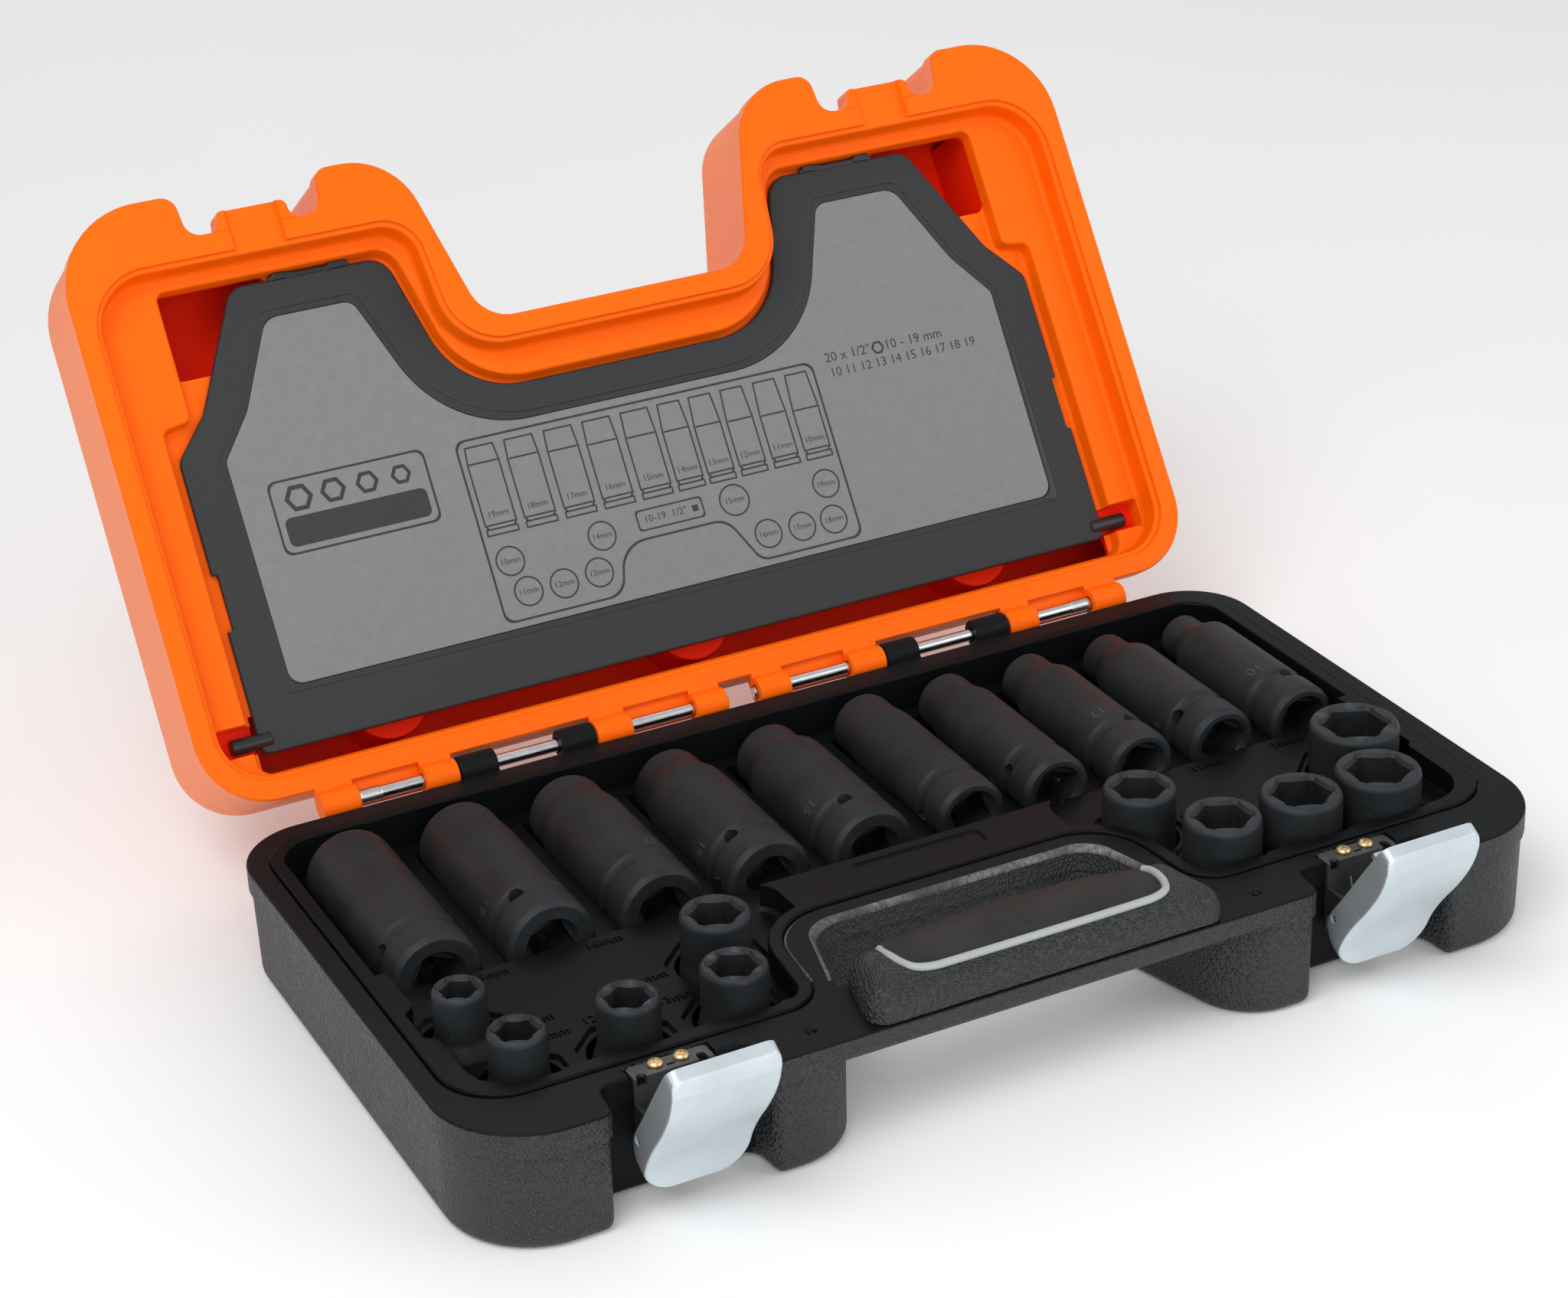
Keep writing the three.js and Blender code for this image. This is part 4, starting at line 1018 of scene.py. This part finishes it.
def ring(corners, width, z0=0.0, z1=INK):
    """A closed line of even width along an outline."""
    steps = arc_steps(corners)
    outer = loop_points(inset(corners, -width / 2), steps)
    inner = loop_points(inset(corners, width / 2), steps)
    n = len(outer)
    points = [(x, y, z) for z in (z0, z1) for loop in (outer, inner) for x, y in loop]
    faces = []
    for i in range(n):
        j = (i + 1) % n
        faces.append((i, j, 2 * n + j, 2 * n + i))
        faces.append((n + j, n + i, 3 * n + i, 3 * n + j))
        faces.append((2 * n + i, 2 * n + j, 3 * n + j, 3 * n + i))
        faces.append((j, i, n + i, n + j))
    return mesh_object("ring", points, faces)


def rectangle(x0, x1, y0, y1, r=0.0):
    return [(x0, y0, r), (x1, y0, r), (x1, y1, r), (x0, y1, r)]


def polygon(x, y, radius, sides, r=0.0, phase=0.0):
    angles = [2 * math.pi * k / sides + phase for k in range(sides)]
    return [(x + radius * math.cos(a), y + radius * math.sin(a), r) for a in angles]


def make_label():
    sheet = loft(LABEL, [(FACE_Z, 0.12), (FACE_Z + 0.08, 0.0), (FACE_Z + 0.55, 0.0)], "label_look")
    finish_piece(sheet, "label_sheet", "index_panel", [label_sheet], ["panel_label"], IN_LID)


def make_print():
    """The size chart: an outline of each socket with its size, in the places of the tray."""
    ink = [ring([(-69.2, 46, 4), (-24.5, 46, 8), (-19.9, 63.2, 11), (20.7, 63.2, 8), (29.5, 46, 6), (70, 46, 4),
                 (70, 111.5, 4), (-69.2, 111.5, 4)], LINE)]
    middles = {19: -61, 18: -46.2, 17: -31.2, 16: -16.4, 15: -1.6, 14: 11.8, 13: 24.1, 12: 36.7, 11: 49.8, 10: 62.8}
    for size, x in middles.items():
        foot = 5.8 if size >= 15 else 5.1
        top = 5.2 if size >= 15 else 4.2
        shoulder = 102.8 - 0.8 * (19 - size)
        ink.append(ring([(x - foot, 77, 0), (x + foot, 77, 0), (x + foot, 78.9, 0), (x + foot - 0.8, 79.6, 0),
                         (x + foot, 80.5, 0), (x + foot, shoulder, 0), (x + top, 108.8, 0), (x - top, 108.8, 0),
                         (x - foot, shoulder, 0), (x - foot, 80.5, 0), (x - foot + 0.8, 79.6, 0), (x - foot, 78.9, 0)],
                        THIN))
        for y in (79.1, 80.6, shoulder):
            ink.append(moved(box(x - foot + 0.4, x + foot - 0.4, y - THIN / 2, y + THIN / 2, 0, INK)))
        ink.append(moved(text_mesh(f"{size}mm", 2.3, INK), x, 84.2))
    rounds = {10: (-61.6, 67), 11: (-58.2, 55.3), 12: (-44.8, 54.9), 13: (-31.2, 55.7), 14: (-26.4, 68), 15: (25.8, 69.3),
              16: (34.8, 54.7), 17: (48.2, 54.3), 18: (60.9, 54.1), 19: (62, 67.3)}
    for size, (x, y) in rounds.items():
        ink.append(ring(polygon(x, y, 5.1 if size != 15 else 5.6, 36), THIN))
        ink.append(moved(text_mesh(f"{size}mm", 2.2, INK), x, y))
    ink.append(ring(rectangle(-12, 13.4, 66.3, 73.4, 1.6), THIN))
    ink.append(moved(text_mesh('10-19  1/2"', 2.7, INK), -1.2, 69.9))
    ink.append(prism(rectangle(9.3, 11.6, 68.7, 71), 0, INK))
    ink.append(moved(text_mesh('20 x 1/2"', 3.7, INK), 85.2, 111.6))
    ink.append(ring(polygon(97.6, 111.4, 2.2, 6), 0.8))
    ink.append(moved(text_mesh("10 - 19 mm", 3.7, INK), 112.4, 111.6))
    ink.append(moved(text_mesh("10 11 12 13 14 15 16 17 18 19", 3.5, INK), 106.5, 105.9))
    ink.append(ring(rectangle(-137.7, -81.3, 86.6, 112, 3.4), LINE))
    ink.append(prism(rectangle(-135.3, -83.7, 88.8, 99, 2.4), 0, INK))
    for k in range(4):
        x = -128.1 + 12.4 * k
        ink.append(ring(polygon(x, 105.2, 4.3 - 0.4 * k, 6), 1.5 - 0.1 * k))
    whole = join_meshes(ink)
    whole.data.transform(ON_LABEL)
    finish_piece(whole, "label_print", "index_panel", [print_ink], [], IN_LID)


make_lid_shell()
make_panel()
make_label()
make_print()


# ---------------------------------------------------------------- hinge pins
def hinge_pin(side):
    """A bright rod with a knurled band near its outer end."""
    start, end = span(1, 5, 150)
    sides = 48
    profile = [(0, start), (1.7, start), (2.2, start + 0.5), (2.2, 133.4), (2.3, 133.6)]
    rows = 17
    points_at = len(profile) - 1
    profile += [(2.3, 133.6 + 7.4 * k / rows) for k in range(1, rows)]
    profile += [(2.3, 141.0), (2.2, 141.2), (2.2, end - 0.5), (1.7, end), (0, end)]
    rod = turned(profile, sides, "z", (0, 0, 0), "hinge_pin")
    for ring_at in range(points_at, points_at + rows):
        for k in range(sides):
            vertex = rod.data.vertices[1 + ring_at * sides + k - sides]
            ridge = 0.14 if (k // 2 + ring_at) % 2 else -0.02
            reach = math.hypot(vertex.co.x, vertex.co.y)
            vertex.co.x *= (reach + ridge) / reach
            vertex.co.y *= (reach + ridge) / reach
    rod.data.transform(AXES["x"] if side > 0 else Matrix.Diagonal((-1, -1, 1, 1)) @ AXES["x"])
    name = f"hinge_pin_{'right' if side > 0 else 'left'}"

    def pick(centre, normal):
        return 1 if 133.5 < abs(centre.x) < 141.1 else 0

    finish_piece(rod, f"{name}_rod", "case", [pin_chrome, knurl_chrome], [name], pick=pick)


# ---------------------------------------------------------------- handle
def crown_height(x, y):
    """The grip's top: level along its front, crowned behind it and arched from end to end."""
    t = (y + 206) / 24.2
    rise = math.sin(min(max(t, 0.0) / 0.4, 1.0) * math.pi / 2) ** 0.8
    fall = max(t - 0.4, 0.0) / 0.6
    return 11.0 + 3.9 * rise * (1 - (x / 52) ** 2) - 0.4 * (x / 50) ** 4 - 3.6 * fall ** 2


def crowned_block():
    columns, rows = 34, 16
    across = rows + 1
    points = []
    for level in range(2):
        for i in range(columns + 1):
            for j in range(across):
                x, y = -52 + 104 * i / columns, -208 + 28 * j / rows
                points.append((x, y, crown_height(x, y) if level else 0))
    top = (columns + 1) * across
    faces = []
    for i in range(columns):
        for j in range(rows):
            a, b, c, d = (i * across + j, (i + 1) * across + j, (i + 1) * across + j + 1, i * across + j + 1)
            faces += [(d, c, b, a), (top + a, top + b, top + c, top + d)]
        for a, b in ((i * across, (i + 1) * across), ((i + 2) * across - 1, (i + 1) * across - 1)):
            faces.append((a, b, top + b, top + a))
    for j in range(rows):
        for a, b in ((j + 1, j), (columns * across + j, columns * across + j + 1)):
            faces.append((a, b, top + b, top + a))
    return mesh_object("crowned", points, faces)


GRIP = mirrored([(46.2, -206, 8), (48.4, -182.4, 4)])
HANDLE = mirrored([(63, FRONT + 0.4, 6), (56.2, -182.5, 7)])


def trim_line():
    half = [(30, -206.0, 11.75), (38.5, -205.8, 11.9), (43.6, -203.9, 12.1), (45.9, -199.8, 12.2), (46.8, -195.0, 12.0),
            (47.1, -190.5, 11.2), (46.4, -187.2, 10.2)]
    return [(-x, y, z) for x, y, z in half[::-1]] + [(0, -206.1, 11.7)] + half


def make_handle():
    levels = [(0.3, 0.5), (0.7, 0.0), (3.2, 0.05), (5.2, 0.4), (7.0, 1.1), (8.6, 2.1), (10.0, 3.5), (11.0, 5.0),
              (11.8, 7.0), (12.3, 9.2), (12.5, 11.2)]
    cover = loft(HANDLE, levels, "handle_look")
    cut(cover, prism(inset(GRIP, -0.3), 2.2, 30), wire(trim_line(), 1.55, 14))
    soften(cover, 0.3, 2, 50)
    finish_piece(cover, "handle_shell", "case", [case_grain], ["handle_cover"], angle=50)
    pad = common(prism(GRIP, 2.5, 20, "grip_look"), crowned_block())
    soften(pad, 0.5, 3, 50)
    cut(pad, wire(trim_line(), 1.5, 14))
    finish_piece(pad, "grip_pad", "case", [grip_rubber], ["handle_grip"], angle=45)
    finish_piece(wire(trim_line(), 1.3, 16, samples=12), "grip_trim_line", "case", [trim_grey],
                 ["grip_trim"], angle=60)


# ---------------------------------------------------------------- latches
def latch_bracket(side):
    centre = side * LATCH_X
    flange = [(centre - 13, -199.0, 0.6), (centre + 13, -199.0, 0.6), (centre + 13, -192.2, 1.6),
              (centre - 13, -192.2, 1.6)]
    sheet = loft(flange, rounded(-1.4, 0, 0.2, False, 2) + rounded(-0.2, 0, 0.25, True, 2), "bracket_look")
    add(sheet, box(centre - 13, centre + 13, -199.0, -197.8, -24, -0.5))
    for end in (-1, 1):
        start, stop = span(end, 11.8, 13)
        ear = [(-212, -17, 2.4), (-205, -19, 2), (-198, -19, 0), (-198, -9, 0), (-209, -9, 3.5), (-212, -12, 2.4)]
        add(sheet, drawn("x", ear, centre + start, centre + stop))
    cut(sheet, bar("x", centre - 14, centre + 14, LEVER_PIN_Y, LEVER_PIN_Z, 1.6, 24))
    for offset in (-4.2, 4.2):
        cut(sheet, bar("z", -2, 1, centre + offset, SCREW_Y, 1.75, 24))
    slot = [(centre - 1.5, -197.1, 0.5), (centre + 1.5, -197.1, 0.5), (centre + 1.5, -196.1, 0.5),
            (centre - 1.5, -196.1, 0.5)]
    cut(sheet, prism(slot, -2, 1))
    gap = [(centre + 8.0, -200, 0), (centre + 11.0, -200, 0), (centre + 11.0, -195.6, 1.4), (centre + 8.0, -195.6, 1.4)]
    cut(sheet, prism(gap, -3.2, 1))
    gap = [(centre - 12.0, -200, 0), (centre - 8.8, -200, 0), (centre - 8.8, -197.0, 1.4), (centre - 12.0, -197.0, 1.4)]
    cut(sheet, prism(gap, -3.2, 1))
    return soften(sheet, 0.15, 2, 40)


def latch_screw(x):
    profile = [(0, -5.2), (1.3, -5.2), (1.3, -0.15), (2.2, -0.15), (2.42, 0.05), (2.42, 0.3), (2.2, 0.75),
               (1.6, 1.15), (0.8, 1.36), (0, 1.4)]
    screw = turned(profile, 40, "z", (x, SCREW_Y, 0))
    turn = Matrix.Rotation(math.radians(25 if x > 0 else 60), 4, "Z")
    for k in range(2):
        arm = loft(rectangle(-1.45, 1.45, -0.28, 0.28), [(0.35, 0.12), (1.6, -0.06)])
        cut(screw, moved(arm, x, SCREW_Y, 0, turn @ Matrix.Rotation(math.pi / 2 * k, 4, "Z")))
    return screw


def smooth_curve(points, at):
    """A value that runs smoothly through (place, value) points."""
    for i in range(len(points) - 1):
        (u1, v1), (u2, v2) = points[i], points[i + 1]
        if at <= u2 or i == len(points) - 2:
            u0, v0 = points[max(i - 1, 0)]
            u3, v3 = points[min(i + 2, len(points) - 1)]
            t = (at - u1) / (u2 - u1)
            m1 = (v2 - v0) / (u2 - u0) * (u2 - u1)
            m2 = (v3 - v1) / (u3 - u1) * (u2 - u1)
            h = t * t
            return (2 * t * h - 3 * h + 1) * v1 + (t * h - 2 * h + t) * m1 + (3 * h - 2 * t * h) * v2 + (t * h - h) * m2
    return points[-1][1]


LEVER_HALF, LEVER_LOW, LEVER_HIGH, CREASE = 17.3, -15.0, 43.3, 38.6
LEVER_OUT = [(-15, 10.2), (-11, 9.0), (-6, 8.0), (0, 7.7), (8, 8.3), (17, 9.6), (26, 10.3), (33, 10.0), (38.6, 8.8)]
LEVER_BAND = [(38.6, 8.8), (40.5, 7.7), (42.0, 6.8), (43.3, 5.9)]
LEVER_BACK = [(-15, 7.0), (-12, 5.2), (-9.5, 3.4), (-6, 0), (-2, -2.3), (3, -2.2), (8, -1.6), (14, -1.0),
              (22, -0.4), (30, 0.3), (38, 1.1), (43.3, 1.7)]


def side_inset(up):
    """How far the lever's sides draw in at a height, for its rounded corners as seen from the front."""
    low, high = 9.0, 3.2
    if up < LEVER_LOW + low:
        return low - math.sqrt(max(low ** 2 - (LEVER_LOW + low - up) ** 2, 0))
    if up > LEVER_HIGH - high:
        return high - math.sqrt(max(high ** 2 - (up - LEVER_HIGH + high) ** 2, 0))
    return 0.0


def latch_lever():
    """Sections stacked up the lever, each a rectangle whose front corners are rounded over."""
    low_part = [LEVER_LOW + 9 * (1 - math.cos(math.pi / 2 * k / 12)) for k in range(12)]
    middle = [-6 + k * (CREASE - 6.3 + 12) / 30 for k in range(31)]
    heights = low_part + middle + [CREASE, CREASE + 0.35, 39.6, 40.4, 41.2, 41.9, 42.5, 42.9, 43.15, 43.3]
    loops = []
    for up in heights:
        half = LEVER_HALF - side_inset(up)
        out = smooth_curve(LEVER_OUT if up <= CREASE else LEVER_BAND, up)
        back = smooth_curve(LEVER_BACK, up)
        corner = min(1.5, half * 0.5, (out - back) * 0.4)
        if up > LEVER_HIGH - 0.6:
            out -= 0.35 * ((up - LEVER_HIGH + 0.6) / 0.6) ** 2
        section = [(-half, -out, corner), (half, -out, corner), (half, -back, 0.25), (-half, -back, 0.25)]
        loops.append([(x, y, up) for x, y in loop_points(section, [6, 6, 2, 2])])
    count = len(loops[0])
    faces = [list(range(count))[::-1], [(len(loops) - 1) * count + i for i in range(count)]]
    for level in range(len(loops) - 1):
        for i in range(count):
            j, base = (i + 1) % count, level * count
            faces.append((base + i, base + j, base + count + j, base + count + i))
    lever = mesh_object("lever_look", [p for loop in loops for p in loop], faces)
    hollow = [(5, -12, 0), (-4, -10.5, 2), (-6.2, -7, 3), (-6.8, 0, 6), (-7.4, 10, 9), (-8.1, 22, 20), (-7.6, 36, 6),
              (-5, 41.3, 0.8), (5, 41.3, 0)]
    cut(lever, drawn("x", hollow[::-1], -LEVER_HALF + 2, LEVER_HALF - 2))
    cut(lever, bar("x", -LEVER_HALF - 1, LEVER_HALF + 1, 0, 0, 1.6, 28))
    add(lever, box(-10, 10, -8, 5.2, 25.3, 27.2))
    return lever


def make_latch(name, side):
    centre = side * LATCH_X
    finish_piece(latch_bracket(side), f"bracket_{name}", "case", [plated_painted_shade], [f"latch_bracket_{name}"])
    for i, offset in enumerate((-4.2, 4.2)):
        finish_piece(latch_screw(centre + offset), f"screw_{name}_{i + 1}", "case", [zinc_gold],
                     [f"latch_screw_{name}_{i + 1}"])
    half = LEVER_HALF - 0.3
    pin = [(0, -half), (1.0, -half), (1.25, -half + 0.25), (1.25, half - 0.25), (1.0, half), (0, half)]
    pin = turned(pin, 28, "x", (centre, LEVER_PIN_Y, LEVER_PIN_Z))
    for end in (-1, 1):
        dimple = turned([(0, -1), (0.55, -1), (0.55, 0.3), (0, 0.6)], 20, "x")
        if end < 0:
            cut(pin, moved(dimple, centre - half, LEVER_PIN_Y, LEVER_PIN_Z))
        else:
            dimple.data.transform(Matrix.Diagonal((-1, -1, 1, 1)))
            cut(pin, moved(dimple, centre + half, LEVER_PIN_Y, LEVER_PIN_Z))
    finish_piece(pin, f"pivot_{name}", "case", [spring_steel], [f"latch_pin_{name}"])

    def at(x, out, up):
        return centre + x, LEVER_PIN_Y - out, LEVER_PIN_Z + up

    path = [at(-5.4, -8.4, 8), at(-5.4, -6.5, 3.5)]
    for k in range(53):
        angle = math.pi * 0.9 - 2 * math.pi * 3.25 * k / 52
        path.append(at(-5 + 10 * k / 52, 2.6 * math.cos(angle), 2.6 * math.sin(angle)))
    path += [at(5.4, 4.2, 5), at(5.4, 4.8, 9)]
    finish_piece(wire(path, 0.4, 8, samples=3), f"spring_{name}", "case", [spring_steel],
                 [f"latch_spring_{name}"], angle=70)
    lever = latch_lever()
    lever.data.transform(Matrix.Translation((centre, LEVER_PIN_Y, LEVER_PIN_Z)) @ Matrix.Rotation(LEVER_ANGLE, 4, "X"))

    def pick(centre_of_face, normal):
        # Faces turned sideways take the darker copy of the paint, painted shade.
        return 1 if abs(normal.x) > 0.8 else 0

    finish_piece(lever, f"lever_{name}", f"latch_{name}", [lever_face, lever_side_painted_shade],
                 [f"latch_lever_{name}"], angle=28, pick=pick)


make_handle()
for latch_name, latch_side in SIDES:
    hinge_pin(latch_side)
    make_latch(latch_name, latch_side)


# ---------------------------------------------------------------- floor, light and camera
def area_light(name, place, target, size, power, size_y=None):
    data = bpy.data.lights.new(name, "AREA")
    data.shape = "RECTANGLE"
    data.size = size
    data.size_y = size_y or size
    data.energy = power
    light = bpy.data.objects.new(name, data)
    bpy.context.scene.collection.objects.link(light)
    light.location = place
    light.rotation_euler = (Vector(target) - Vector(place)).to_track_quat("-Z", "Y").to_euler()
    return light


def make_floor():
    floor = mesh_object("floor", [(-4, -4, 0), (4, -4, 0), (4, 4, 0), (-4, 4, 0)], [(0, 1, 2, 3)])
    material, tree, shader = new_material("floor_paper")
    tone = noise(tree, object_coordinates(tree), 3, 2).outputs["Fac"]
    tree.links.new(ramp(tree, tone, [(0.3, (0.93, 0.93, 0.935)), (0.7, (0.95, 0.95, 0.95))]), shader.inputs["Base Color"])
    shader.inputs["Roughness"].default_value = 0.9
    floor.data.materials.append(material)
    return floor


def make_world():
    world = bpy.data.worlds.new("studio")
    world.use_nodes = True
    background = world.node_tree.nodes["Background"]
    background.inputs["Color"].default_value = (1, 1, 1, 1)
    background.inputs["Strength"].default_value = 0.55
    bpy.context.scene.world = world
    bpy.context.scene.view_settings.view_transform = "Standard"


def make_camera():
    """The photograph's view: an 81 mm lens, from the front left and above."""
    data = bpy.data.cameras.new("camera")
    data.sensor_width = 36.0
    data.lens = 81.08
    data.clip_start = 0.01
    camera = bpy.data.objects.new("camera", data)
    bpy.context.scene.collection.objects.link(camera)
    right = Vector((0.88847, -0.45751, -0.03609))
    forward = Vector((0.39517, 0.80266, -0.44673))
    up = right.cross(forward)
    turn = Matrix((right, up, -forward)).transposed().to_4x4()
    camera.matrix_world = Matrix.Translation(Vector((-0.4660, -0.8776, 0.6030))) @ turn
    data.shift_x = -0.0034
    data.shift_y = 0.0006
    bpy.context.scene.camera = camera


make_floor()
make_world()
make_camera()
area_light("key", (-0.9, -0.6, 1.5), (0, 0, 0.05), 1.1, 15)
area_light("fill", (1.3, -1.0, 0.9), (0, 0, 0.05), 1.2, 6)
area_light("rim", (0.3, 1.4, 1.2), (0, 0.1, 0.05), 1.2, 3)
area_light("front", (-0.35, -1.7, 0.55), (0, 0, 0.05), 1.3, 10)
